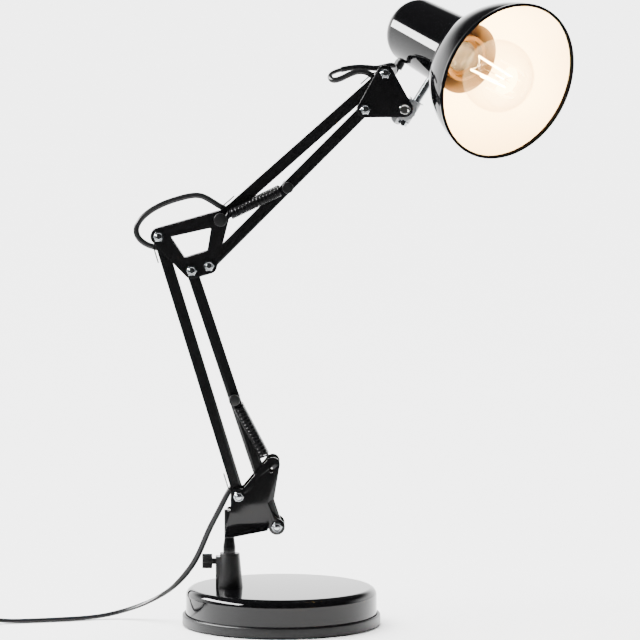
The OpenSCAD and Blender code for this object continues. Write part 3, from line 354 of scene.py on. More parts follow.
def coated(name, colour, rough, spread, grain, depth, blotch=12.0, tone=0.12, metal=0.0, shine=0.5):
    """A solid finish with fine grain in its relief and slow changes in tone and gloss.

    grain, depth and blotch are in mm, roughness varies by spread, and shine is the specular level.
    """
    tree = shader(name)
    place = put(tree, "ShaderNodeTexCoord").outputs["Object"]
    slow = put(tree, "ShaderNodeTexNoise", {"Vector": place, "Scale": 1000 / blotch, "Detail": 4.0})
    fine = put(tree, "ShaderNodeTexNoise", {"Vector": place, "Scale": 1000 / grain, "Detail": 3.0})
    low = [c * (1 - tone) for c in colour] + [1]
    high = [min(1, c * (1 + tone)) for c in colour] + [1]
    tint = put(tree, "ShaderNodeMix", {"Factor": slow.outputs["Fac"], 6: low, 7: high}, data_type="RGBA")
    both = put(tree, "ShaderNodeMath", {0: slow.outputs["Fac"], 1: fine.outputs["Fac"]}, operation="ADD")
    gloss = put(tree, "ShaderNodeMapRange", {"Value": both.outputs[0], "From Min": 0.6, "From Max": 1.4,
        "To Min": max(0.02, rough - spread), "To Max": rough + spread})
    relief = put(tree, "ShaderNodeBump", {"Height": fine.outputs["Fac"], "Distance": depth * MM,
        "Strength": 1.0})
    face = put(tree, "ShaderNodeBsdfPrincipled", {"Base Color": tint.outputs[2], "Metallic": metal,
        "Roughness": gloss.outputs[0], "Normal": relief.outputs[0], "Specular IOR Level": shine})
    put(tree, "ShaderNodeOutputMaterial", {"Surface": face.outputs[0]})


def finishes():
    """Makes every finish of the lamp, by the name of its real material."""
    look = bpy.context.scene.lamp_colours
    # Baked gloss enamel over pressed steel: deep black, mirror-like, a faint orange peel
    coated("gloss_enamel", look.enamel, rough=0.06, spread=0.02, grain=2.2, depth=0.003, blotch=40, shine=0.27)
    # Enamel on the shade's lip, thin and dull over the rolled edge
    coated("lip_enamel", look.enamel, rough=0.8, spread=0.05, grain=1.5, depth=0.004, blotch=30, shine=0.0)
    # The shade's white enamel down in the neck, painted dark amber: painted shade in the deep neck and painted warm
    # bulb light on it
    coated("neck_enamel", linear("#7a6248"), rough=0.45, spread=0.05, grain=1.8, depth=0.004, blotch=30,
        tone=0.08)
    # White enamel inside the shade: even, soft sheen
    coated("white_enamel", look.inside, rough=0.38, spread=0.05, grain=1.8, depth=0.004, blotch=30, tone=0.02)
    # Semi-gloss stove enamel on the tubes and plates: fine grain, soft highlights
    coated("stove_enamel", look.arms, rough=0.16, spread=0.03, grain=0.9, depth=0.0008, blotch=18, shine=0.24)
    # The tray's enamel: the same black, a little flatter
    coated("tray_enamel", look.arms, rough=0.3, spread=0.04, grain=1.2, depth=0.0015, blotch=25, shine=0.25)
    # Nylon insert of a lock nut: smoky grey
    coated("nylon_ring", linear("#23262b"), rough=0.4, spread=0.05, grain=0.8, depth=0.004, blotch=4)
    # Bright zinc on cold-headed steel: cool grey, faintly cloudy
    coated("zinc_plate", look.zinc, rough=0.15, spread=0.05, grain=0.5, depth=0.002, blotch=3, metal=1)
    # Chromed bolt head: clear reflections
    coated("chrome", linear("#d9d9d7"), rough=0.09, spread=0.03, grain=0.6, depth=0.002, blotch=4, tone=0.04,
        metal=1)
    # Die-cast zinc: dull grey with a sandy skin
    coated("die_cast_zinc", look.knuckle, rough=0.42, spread=0.08, grain=0.45, depth=0.02, blotch=5, metal=0.85)
    # Moulded ABS: near black, spark-eroded mould texture
    coated("moulded_abs", look.plastic, rough=0.32, spread=0.06, grain=0.5, depth=0.01, blotch=9, shine=0.3)
    # Nylon washers and spacers: milky, waxy
    coated("nylon", linear("#d8d6cf"), rough=0.5, spread=0.05, grain=0.8, depth=0.01, blotch=4)
    # Lacquered spring wire: black skin over drawn steel
    coated("lacquered_wire", look.springs, rough=0.22, spread=0.05, grain=0.4, depth=0.002, blotch=6, shine=0.1)
    # Phenolic lampholder: brown, satin
    coated("phenolic", linear("#4f360f"), rough=0.33, spread=0.06, grain=0.6, depth=0.01, blotch=8)
    # Brass contacts: warm, drawn
    coated("drawn_brass", linear("#c19a4b"), rough=0.3, spread=0.08, grain=0.5, depth=0.006, blotch=5, metal=1)
    # Nickel-plated bulb cap: pale, slightly warm
    coated("nickel_plate", linear("#c9c8c2"), rough=0.24, spread=0.06, grain=0.5, depth=0.006, blotch=5,
        metal=1)
    # Grey iron weight: coarse cast skin
    coated("grey_iron", linear("#4a4b4d"), rough=0.62, spread=0.1, grain=1.6, depth=0.08, blotch=10, metal=0.7)
    # Foamed rubber pad: matt, fine cells
    coated("cell_rubber", linear("#1b1b1c"), rough=0.85, spread=0.05, grain=0.9, depth=0.06)
    # PVC lead: black, satin, slightly uneven from extrusion
    coated("pvc_lead", look.lead, rough=0.3, spread=0.06, grain=1.2, depth=0.01, blotch=15, shine=0.28)
    # Clear soda glass: nearly nothing face on, pale reflections at the edge, and an amber tint toward the edge that is
    # painted warm light at the globe's outline
    tree = shader("clear_glass")
    facing = put(tree, "ShaderNodeLayerWeight", {"Blend": 0.25})
    film = put(tree, "ShaderNodeMapRange", {"Value": facing.outputs["Facing"], "From Min": 0.0,
        "From Max": 0.9, "To Min": 0.01, "To Max": 0.14})
    # The amber toward the edge is painted warm light, not a colour of the clear glass
    depth = put(tree, "ShaderNodeMix", {"Factor": film.outputs[0], 6: (1, 1, 1, 1),
        7: [*linear("#b8924f"), 1]}, data_type="RGBA")
    through = put(tree, "ShaderNodeBsdfTransparent", {"Color": depth.outputs[2]})
    shine = put(tree, "ShaderNodeBsdfAnisotropic", {"Color": (1, 1, 1, 1), "Roughness": 0.03})
    both = put(tree, "ShaderNodeMixShader", {0: film.outputs[0], 1: through.outputs[0], 2: shine.outputs[0]})
    put(tree, "ShaderNodeOutputMaterial", {"Surface": both.outputs[0]})
    # Phosphor-coated light sticks, switched on: warm grains 1.5 mm wide
    tree = shader("lit_phosphor")
    place = put(tree, "ShaderNodeTexCoord").outputs["Object"]
    grain = put(tree, "ShaderNodeTexNoise", {"Vector": place, "Scale": 1000 / 1.5, "Detail": 2.0})
    glow = put(tree, "ShaderNodeMix", {"Factor": grain.outputs["Fac"], 6: [*linear("#ffc772"), 1],
        7: [*linear("#ffe2ae"), 1]}, data_type="RGBA")
    face = put(tree, "ShaderNodeBsdfPrincipled", {"Base Color": glow.outputs[2], "Roughness": 0.5,
        "Emission Color": glow.outputs[2], "Emission Strength": 40.0})
    put(tree, "ShaderNodeOutputMaterial", {"Surface": face.outputs[0]})


def in_space(p, y=0.0):
    """A plane point at Y = y, in metres."""
    return Vector((p[0] * MM, y * MM, p[1] * MM))


def along(p, q, *reaches):
    """Points on the line from p to q in the arms' plane, each so many mm from p."""
    foot, way = in_space(p), (in_space(q) - in_space(p)).normalized()
    return [foot + way * reach * MM for reach in reaches]


def metres(points):
    """Points in mm as vectors in metres."""
    return [Vector(p) * MM for p in points]


def eased(points, steps):
    """Smooth run through points."""
    out = []
    last = len(points) - 1
    for i in range(last):
        a, b = points[max(i - 1, 0)], points[i]
        c, d = points[i + 1], points[min(i + 2, last)]
        for k in range(steps):
            t = k / steps
            out.append(b + t / 2 * (c - a) + t * t * (a - 2.5 * b + 2 * c - d / 2)
                + t ** 3 * (1.5 * b - a / 2 - 1.5 * c + d / 2))
    return out + [points[-1]]


def relaxed(run, times):
    """Evens out a run's bends, its ends kept."""
    for _ in range(times):
        run = [run[0]] + [(a + 2 * b + c) / 4 for a, b, c in zip(run, run[1:], run[2:])] + [run[-1]]
    return run


def measured(run):
    """Length of a run."""
    return sum((b - a).length for a, b in zip(run, run[1:]))


def skinned(mesh, rings):
    """Joins rings of equal count with quads."""
    for low, high in zip(rings, rings[1:]):
        for k in range(len(low)):
            n = (k + 1) % len(low)
            mesh.faces.new((low[k], low[n], high[n], high[k]))


def swept(mesh, run, wide, thick, sides, across=(0, 1, 0), roll=lambda p: 0.0):
    """Adds an oval tube along a run to a bmesh; roll turns its section by the angle for each place."""
    carry = Vector(across)
    rings = []
    for i, p in enumerate(run):
        ahead = (run[min(i + 1, len(run) - 1)] - run[max(i - 1, 0)]).normalized()
        carry = (carry - carry.dot(ahead) * ahead).normalized()
        turn = roll(p)
        broad = math.cos(turn) * carry + math.sin(turn) * ahead.cross(carry)
        side = ahead.cross(broad)
        ring = []
        for k in range(sides):
            a = 2 * math.pi * (k + 0.5) / sides
            ring.append(mesh.verts.new(p + wide / 2 * math.cos(a) * broad + thick / 2 * math.sin(a) * side))
        rings.append(ring)
    skinned(mesh, rings)
    mesh.faces.new(rings[0][::-1])
    mesh.faces.new(rings[-1])


def turned(mesh, line, place, steps, look=lambda i: 0):
    """Adds a lathe form to a bmesh: line holds (radius, height) in mm, place carries it into the frame."""
    rings = []
    for r, z in line:
        if r < 1e-6:
            rings.append([mesh.verts.new(place @ Vector((0, 0, z * MM)))])
            continue
        rings.append([mesh.verts.new(place @ Vector((r * MM * math.cos(2 * math.pi * k / steps),
            r * MM * math.sin(2 * math.pi * k / steps), z * MM))) for k in range(steps)])
    for i, (low, high) in enumerate(zip(rings, rings[1:])):
        for k in range(steps):
            n = (k + 1) % steps
            corners = [low[k % len(low)], low[n % len(low)], high[n % len(high)], high[k % len(high)]]
            corners = list(dict.fromkeys(corners))
            if len(corners) > 2:
                mesh.faces.new(corners).material_index = look(i)


def piece(name, mesh, *looks, sharp=30.0, flat=()):
    """Turns a bmesh into an object with its finishes, smooth but for its sharp edges and flat faces."""
    data = bpy.data.meshes.new(name)
    bmesh.ops.recalc_face_normals(mesh, faces=mesh.faces[:])
    for face in mesh.faces:
        face.smooth = face not in flat
    mesh.to_mesh(data)
    mesh.free()
    data.set_sharp_from_angle(angle=math.radians(sharp))
    for look in looks:
        data.materials.append(FINISH[look])
    made = bpy.data.objects.new(name, data)
    bpy.context.scene.collection.objects.link(made)
    return made


def dressed(made, slot, body, *nodes):
    """Gives a rigid piece its slot, the body it rides on and the nodes it stands for."""
    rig.slot(made, slot)
    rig.ride(made, body)
    if nodes:
        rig.replaces(made, *nodes)


def growing(name, output, **inputs):
    """A geometry tree with its named inputs and one output, and the sockets of its input node."""
    tree = bpy.data.node_groups.new(name, "GeometryNodeTree")
    for key, kind in inputs.items():
        tree.interface.new_socket(key, in_out="INPUT", socket_type="NodeSocket" + kind)
    tree.interface.new_socket(output, in_out="OUTPUT", socket_type="NodeSocketGeometry")
    return tree, put(tree, "NodeGroupInput").outputs


def ended(tree, shape, finish):
    """Ends a geometry tree in real meshes with one finish."""
    real = put(tree, "GeometryNodeRealizeInstances", {"Geometry": shape})
    skin = put(tree, "GeometryNodeSetMaterial", {"Geometry": real.outputs[0], "Material": finish})
    put(tree, "NodeGroupOutput", {0: skin.outputs[0]})


def grown(tree, data, **inputs):
    """Runs a geometry tree on a mesh and returns what it makes as a plain mesh."""
    holder = bpy.data.objects.new(tree.name, data)
    bpy.context.scene.collection.objects.link(holder)
    step = holder.modifiers.new(tree.name, "NODES")
    step.node_group = tree
    keys = {i.name: i.identifier for i in tree.interface.items_tree if i.in_out == "INPUT"}
    for name, value in inputs.items():
        step[keys[name]] = value
    bpy.context.view_layer.update()
    made = bpy.data.meshes.new_from_object(holder.evaluated_get(bpy.context.evaluated_depsgraph_get()))
    holder.modifiers.clear()
    bpy.data.objects.remove(holder)
    return made


def shade_place():
    """Carries the shade's own coordinates, in metres, into the frame."""
    stud = Matrix.Translation(in_space(STUD_FOOT)) @ Matrix.Rotation(math.radians(90 - STUD_RISE), 4, "Y")
    neck = Matrix.Rotation(math.radians(-SHADE_TURN), 4, "Z") @ Matrix.Translation((0, 0, STUD_REACH * MM))
    return stud @ neck @ Matrix.Rotation(math.radians(90 - NECK_SLOPE), 4, "Y")


class LampSizes(bpy.types.PropertyGroup):
    """Sizes of the lamp's soft and turned pieces"""
    cord_wide: bpy.props.FloatProperty(name="Lead width", description="Width of the flat lead",
        default=4.8 * MM, unit="LENGTH")
    cord_thick: bpy.props.FloatProperty(name="Lead thickness", description="Thickness of the flat lead",
        default=3.4 * MM, unit="LENGTH")
    spring_wide: bpy.props.FloatProperty(name="Spring diameter", description="Outside of the coils",
        default=8.8 * MM, unit="LENGTH")
    wire: bpy.props.FloatProperty(name="Spring wire", description="Diameter of the spring wire",
        default=1.4 * MM, unit="LENGTH")
    coil_turns: bpy.props.FloatProperty(name="Coil turns",
        description="Turns in each layer of the spare lead", default=3.25)


class LampColours(bpy.types.PropertyGroup):
    """Colours of the lamp's finishes"""
    enamel: bpy.props.FloatVectorProperty(name="Enamel", description="Base and outside of the shade",
        subtype="COLOR", default=linear("#070708"))
    inside: bpy.props.FloatVectorProperty(name="Inside", description="Inside of the shade",
        subtype="COLOR", default=linear("#f6ebd2"))
    arms: bpy.props.FloatVectorProperty(name="Arms", description="Tubes, plates and bracket",
        subtype="COLOR", default=linear("#0c0c0d"))
    springs: bpy.props.FloatVectorProperty(name="Springs", description="Lacquered spring wire",
        subtype="COLOR", default=linear("#0b0b0c"))
    zinc: bpy.props.FloatVectorProperty(name="Zinc", description="Plated nuts, bolts and spacer",
        subtype="COLOR", default=linear("#a9adb0"))
    knuckle: bpy.props.FloatVectorProperty(name="Knuckle", description="Cast knuckle",
        subtype="COLOR", default=linear("#9a9b9d"))
    plastic: bpy.props.FloatVectorProperty(name="Plastic", description="Moulded post, knob and caps",
        subtype="COLOR", default=linear("#0e0e0f"))
    lead: bpy.props.FloatVectorProperty(name="Lead", description="Sheath of the lead",
        subtype="COLOR", default=linear("#151516"))


class LAMP_OT_camera(bpy.types.Operator):
    """Sets the camera where the picture was taken"""
    bl_idname = "lamp.camera"
    bl_label = "Camera"

    def execute(self, context):
        yaw = math.radians(VIEW_TURN)
        pitch = math.radians(VIEW_TILT)
        ahead = Vector((math.sin(yaw) * math.cos(pitch), math.cos(yaw) * math.cos(pitch), -math.sin(pitch)))
        right = Vector((math.cos(yaw), -math.sin(yaw), 0))
        up = right.cross(ahead)
        lens = bpy.data.cameras.new("view")
        lens.sensor_width = 36
        lens.lens = VIEW_LENS
        lens.clip_end = 400
        made = bpy.data.objects.new("view", lens)
        context.scene.collection.objects.link(made)
        turn = Matrix((right, up, -ahead)).transposed().to_4x4()
        made.matrix_world = Matrix.Translation(Vector(VIEW_PLACE) * MM) @ turn
        context.scene.camera = made
        return {"FINISHED"}


class LAMP_OT_sheetwork(bpy.types.Operator):
    """Rounds the edges of the tubes, plates and mouldings"""
    bl_idname = "lamp.sheetwork"
    bl_label = "Tubes and plates"

    def outer(self, edges, axis):
        """The long edges at a tube's outer corners."""
        foot, way = in_space(axis[0]), (in_space(axis[1]) - in_space(axis[0])).normalized()
        corner, shortest = 6.4 * MM, 2 * MM
        return [e for e in edges if e.calc_length() > shortest
            and all((v.co - foot - (v.co - foot).dot(way) * way).length > corner for v in e.verts)]

    def edged(self, name, width, look):
        """Replaces a solid by a copy with its edges rounded."""
        merge, same_plane, steep, broad = 2e-6, math.radians(0.5), math.radians(40), 60 * MM * MM
        solid = frame["nodes"][name]
        mesh = bmesh.new()
        mesh.from_mesh(solid.data)
        bmesh.ops.remove_doubles(mesh, verts=mesh.verts[:], dist=merge)
        bmesh.ops.dissolve_limit(mesh, angle_limit=same_plane, verts=mesh.verts[:], edges=mesh.edges[:])
        edges = [e for e in mesh.edges if len(e.link_faces) == 2 and e.calc_face_angle(0) > steep]
        if name in TUBES:
            edges = self.outer(edges, TUBES[name])
        rounded = set(bmesh.ops.bevel(mesh, geom=edges, offset=width * MM, segments=3, profile=0.5,
            affect="EDGES", clamp_overlap=True)["faces"])
        flat = {f for f in mesh.faces if f not in rounded and f.calc_area() > broad}
        made = piece("edged_" + name, mesh, look, sharp=32, flat=flat)
        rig.ride(made, solid["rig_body"])
        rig.replaces(made, name)

    def execute(self, context):
        for width, look, names in EDGES:
            for name in names:
                self.edged(name, width, look)
        return {"FINISHED"}


class LAMP_OT_lead(bpy.types.Operator):
    """Makes the supply lead from the lower arm through the switch to the coil and plug"""
    bl_idname = "lamp.lead"
    bl_label = "Supply lead"

    def coil(self, turns):
        """Spare lead wound inwards, then a layer higher outwards."""
        steps = 24
        outer = COIL_INNER + COIL_PITCH * turns
        count = int(turns * steps)
        climb = steps // 2

        def radius(i):
            if i <= count:
                return outer - COIL_PITCH * i / steps
            if i <= count + climb / 2:
                return radius(count) - COIL_PITCH * (i - count) / steps
            return radius(2 * count + climb - i)
        run = []
        for i in range(2 * count + climb + 1):
            a = math.radians(180 - 360 * i / steps)
            rise = COIL_LAYER * max(0, min(1, (i - count) / climb))
            run.append((COIL_AT[0] + radius(i) * math.cos(a), COIL_AT[1] + radius(i) * math.sin(a),
                COIL_AT[2] + rise))
        return run

    def hung(self, p):
        """Turn of the flat lead: none on the table, a quarter where it hangs."""
        table, change = 0.012, 0.03
        return math.pi / 2 * max(0, min(1, (p.z - table) / change))

    def execute(self, context):
        sizes = context.scene.lamp_sizes
        run = relaxed(eased(along(REAR_PIVOT, LOWER_TOP, *LOOP_IN) + metres(SUPPLY_ROUTE), SPAN), times=20)
        mouth = run[8]
        run += metres(SWITCH_RUN) + eased(metres(COIL_LEAD + self.coil(sizes.coil_turns) + COIL_TAIL), 2)
        mesh = bmesh.new()
        swept(mesh, run, sizes.cord_wide, sizes.cord_thick, LEAD_SIDES, roll=self.hung)
        lead = piece("supply_lead", mesh, "pvc_lead")
        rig.slot(lead, "cord_sheath")
        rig.replaces(lead, "supply_cord", "cord_coil")
        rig.blend(lead, "swivel_bracket", "base", start=in_space((-44.8, 111)), end=in_space((-102, 20.5), 20))
        on_it = [bpy.data.objects["edged_" + n] for n in ("switch_lower_case", "switch_upper_case",
            "switch_rocker", "plug_body")] + [frame["nodes"][n] for n in ("coil_tie", "plug_pins")]
        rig.cord(lead, exit=mouth, length=measured(run), diameter=sizes.cord_wide, far_end="plug",
            stiffness="medium", lay="coiled", path=run, with_pieces=on_it)
        return {"FINISHED"}


class LAMP_OT_loops(bpy.types.Operator):
    """Makes the loops of lead at the elbow and at the head, and the runs inside the tubes"""
    bl_idname = "lamp.loops"
    bl_label = "Loops of lead"

    def bent(self, name, node, run, bodies, start, end):
        """One run of a loop, which turns from one body to the next between start and end."""
        sizes = bpy.context.scene.lamp_sizes
        mesh = bmesh.new()
        swept(mesh, run, sizes.cord_wide, sizes.cord_thick, LEAD_SIDES, roll=lambda p: math.pi / 2)
        made = piece(name, mesh, "pvc_lead")
        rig.slot(made, "cord_sheath")
        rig.replaces(made, node)
        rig.blend(made, *bodies, start=start, end=end)
        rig.cord(made, exit=run[0], length=measured(run), diameter=sizes.cord_wide, far_end="object",
            stiffness="medium", lay="hanging", path=run)

    def execute(self, context):
        run = relaxed(eased(along(LOWER_TOP, REAR_PIVOT, *LOOP_IN) + metres(ELBOW_ROUTE)
            + along(ELBOW_PIN, UPPER_TOP, *LOOP_IN[::-1]), SPAN), times=40)
        cut = 7 * SPAN
        self.bent("elbow_lead_low", "elbow_cord", run[:cut + 1], ("rear_bar", "elbow"),
            in_space((-112, 318)), in_space((-118, 341)))
        self.bent("elbow_lead_high", "elbow_cord", run[cut:][::-1], ("top_bar", "elbow"),
            in_space((-49, 349)), in_space((-72, 360)))
        place = shade_place()
        gland = [place @ (Vector((GLAND_R + x, 0, GLAND_Z)) * MM) for x in (-2, 5, 12)]
        tube = along(UPPER_TOP, ELBOW_PIN, *LOOP_IN[::-1])
        run = relaxed(eased(gland + metres(HEAD_ROUTE) + tube, SPAN), times=8)
        first, second = 3 * SPAN, 7 * SPAN
        self.bent("head_lead_shade", "head_cord", run[:first + 1], ("shade_head", "knuckle"),
            run[2 * SPAN], run[first])
        self.bent("head_lead_knuckle", "head_cord", run[first:second + 1], ("knuckle", "head_bracket"),
            run[first + 2], run[second - 3])
        self.bent("head_lead_bar", "head_cord", run[second:][::-1], ("top_bar", "head_bracket"),
            in_space((49, 456), 1), in_space((50, 463.5), 12))
        thick = context.scene.lamp_sizes.cord_thick
        for name, p, q, body in (("lower_bar", REAR_PIVOT, LOWER_TOP, "rear_bar"),
                ("upper_bar", ELBOW_PIN, UPPER_TOP, "top_bar")):
            mesh = bmesh.new()
            swept(mesh, along(p, q, BAR_LEAD_IN) + along(q, p, BAR_LEAD_IN), thick, thick, 12)
            dressed(piece(name + "_lead", mesh, "pvc_lead"), "cord_sheath", body, name + "_cord")
        return {"FINISHED"}


class LAMP_OT_springs(bpy.types.Operator):
    """Winds the four tension springs"""
    bl_idname = "lamp.springs"
    bl_label = "Springs"

    def winding(self):
        """A tree that winds wire into a close coil."""
        tree, given = growing("close_wound_spring", "Spring", Turns="Float", Radius="Float", Length="Float",
            Wire="Float", Lacquer="Material")
        coil = put(tree, "GeometryNodeCurveSpiral", {"Resolution": 20, "Rotations": given["Turns"],
            "Start Radius": given["Radius"], "End Radius": given["Radius"], "Height": given["Length"]})
        wire = put(tree, "GeometryNodeCurvePrimitiveCircle", {"Resolution": 8, "Radius": given["Wire"]})
        tube = put(tree, "GeometryNodeCurveToMesh", {"Curve": coil.outputs[0],
            "Profile Curve": wire.outputs[0], "Fill Caps": True})
        ended(tree, tube.outputs[0], given["Lacquer"])
        return tree

    def eye(self, mesh, root, pin, way, across, radius, wire):
        """Wire that turns in to the axis and loops round the pin."""
        loop, neck = 3.4 * MM, 4.6 * MM
        run = [root, root + 1.2 * wire * way - 0.5 * radius * across, pin - way * neck]
        for k in range(13):
            a = math.radians(180 + 25 * k)
            run.append(pin + loop * (math.cos(a) * way + math.sin(a) * across))
        swept(mesh, eased(run, 3), wire, wire, 8)

    def hook(self, mesh, root, catch, way, across, radius, wire):
        """Straight wire to the lug, bent out through its hole."""
        straight, bend, past = 5 * MM, 1.5 * MM, 1.4
        side = math.copysign(1, catch.y)
        plate = Vector((catch.x, side * (PLATE_OUT + past) * MM, catch.z))
        run = [root, root + 1.2 * wire * way - 0.5 * radius * across, catch - way * straight,
            catch - way * bend, catch + Vector((0, side, 0)) * bend, plate]
        swept(mesh, eased(run, 4), wire, wire, 8)

    def execute(self, context):
        sizes = context.scene.lamp_sizes
        tree = self.winding()
        radius = (sizes.spring_wide - sizes.wire) / 2
        pitch = sizes.wire * 1.06
        for kind, p, q, y, near, far, bodies, turning in SPRINGS:
            far_end = self.hook if q == LUG_CATCH else self.eye
            for name, side in ((kind + "_front", -1), (kind + "_rear", 1)):
                start, end = in_space(p, side * y), in_space(q, side * y)
                way = (end - start).normalized()
                across = way.cross(Vector((0, 1, 0))).normalized()
                foot = start + way * near * MM
                long = (end - start).length - (near + far) * MM
                stand = Matrix((across, way.cross(across), way)).transposed().to_4x4()
                stand.translation = foot
                mesh = bmesh.new()
                mesh.from_mesh(grown(tree, bpy.data.meshes.new("winding"), Turns=round(long / pitch),
                    Radius=radius, Length=long, Wire=sizes.wire / 2, Lacquer=FINISH["lacquered_wire"]))
                bmesh.ops.transform(mesh, matrix=stand, verts=mesh.verts[:])
                first = foot + radius * across
                last = start + way * (near * MM + long) + radius * across
                self.eye(mesh, first, start, -way, across, radius, sizes.wire)
                far_end(mesh, last, end, way, across, radius, sizes.wire)
                made = piece("wound_" + name, mesh, "lacquered_wire")
                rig.slot(made, "spring_steel")
                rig.replaces(made, name)
                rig.blend(made, *bodies, start=start.lerp(end, turning[0]), end=start.lerp(end, turning[1]))
        return {"FINISHED"}


class LAMP_OT_base(bpy.types.Operator):
    """Spins the enamelled base cover"""
    bl_idname = "lamp.base"
    bl_label = "Base"

    def edge(self, off):
        """(radius, height) round the top edge, off inwards from the outside."""
        arc = COVER_EDGE - off
        turns = [math.radians(a) for a in range(0, 91, 5)]
        return [(COVER_R - COVER_EDGE + arc * math.cos(a), COVER_TOP - COVER_EDGE + arc * math.sin(a))
            for a in turns]

    def execute(self, context):
        line = [(COVER_R - COVER_STEEL, COVER_FOOT), (COVER_R, COVER_FOOT)] + self.edge(0)
        line += [(0, COVER_TOP), (0, COVER_TOP - COVER_STEEL)] + self.edge(COVER_STEEL)[::-1]
        mesh = bmesh.new()
        turned(mesh, line + [line[0]], Matrix.Identity(4), ROUND)
        bmesh.ops.remove_doubles(mesh, verts=mesh.verts[:], dist=1e-7)
        cover = piece("enamelled_cover", mesh, "gloss_enamel", sharp=35)
        dressed(cover, "gloss_black_steel", "base", "base_cover")
        return {"FINISHED"}


class LAMP_OT_shade(bpy.types.Operator):
    """Spins the bell shade, black outside and white inside, with painted shade darkening the white in its neck"""
    bl_idname = "lamp.shade"
    bl_label = "Shade"

    def line(self, off):
        """(radius, height) from the neck's closed end to the rim, off inwards from the outside."""
        arc = NECK_ARC - off
        r = CREASE_R - (CREASE_Z - NECK_END_Z) * math.tan(math.radians(NECK_SLOPE)) - off
        out = [(0, NECK_END_Z + off)]
        for k in range(17):
            a = math.radians(-90 + 90 * k / 16)
            out.append((r - arc + arc * math.cos(a), NECK_END_Z + off + arc + arc * math.sin(a)))
        out.append((CREASE_R - off, CREASE_Z + off / 2))
        wide, tall = RIM_R - CREASE_R, RIM_Z - CREASE_Z
        half = math.hypot(wide, tall) / 2
        bow = (half * half + BELL_BULGE * BELL_BULGE) / (2 * BELL_BULGE)
        lean = math.atan2(tall, wide) - math.pi / 2
        mid_r = (CREASE_R + RIM_R) / 2 + (BELL_BULGE - bow) * math.cos(lean)
        mid_z = (CREASE_Z + RIM_Z) / 2 + (BELL_BULGE - bow) * math.sin(lean)
        spread = math.asin(half / bow)
        for k in range(1 if off == 0 else 0, 33):
            a = lean - spread + 2 * spread * k / 32
            out.append((mid_r + (bow - off) * math.cos(a), mid_z + (bow - off) * math.sin(a)))
        return out

    def execute(self, context):
        outer_end, inner_end, lip_end, neck_end = RIM_Z - 1.6, RIM_Z - 2.4, RIM_Z - 3.2, CREASE_Z + 0.5
        outside = [p for p in self.line(0) if p[1] < outer_end]
        inside = [p for p in self.line(SHADE_STEEL) if p[1] < inner_end]
        bead = [(RIM_R - BEAD_IN + BEAD_R * math.cos(math.radians(a)),
            RIM_Z - BEAD_IN + BEAD_R * math.sin(math.radians(a))) for a in range(-10, 211, 20)]
        line = outside + bead + inside[::-1]
        lip = len(outside) - 1

        # Finish 3 is painted shade: the white enamel darkened to amber in the neck past the crease
        def look(i):
            if i < lip:
                return 0
            if i < lip + len(bead) or line[i][1] > lip_end:
                return 1
            return 2 if line[i][1] > neck_end else 3
        mesh = bmesh.new()
        turned(mesh, line, shade_place(), ROUND, look)
        shade = piece("bell_shade", mesh, "gloss_enamel", "lip_enamel", "white_enamel", "neck_enamel", sharp=24)
        dressed(shade, "gloss_black_steel", "shade_head", "shade")
        return {"FINISHED"}


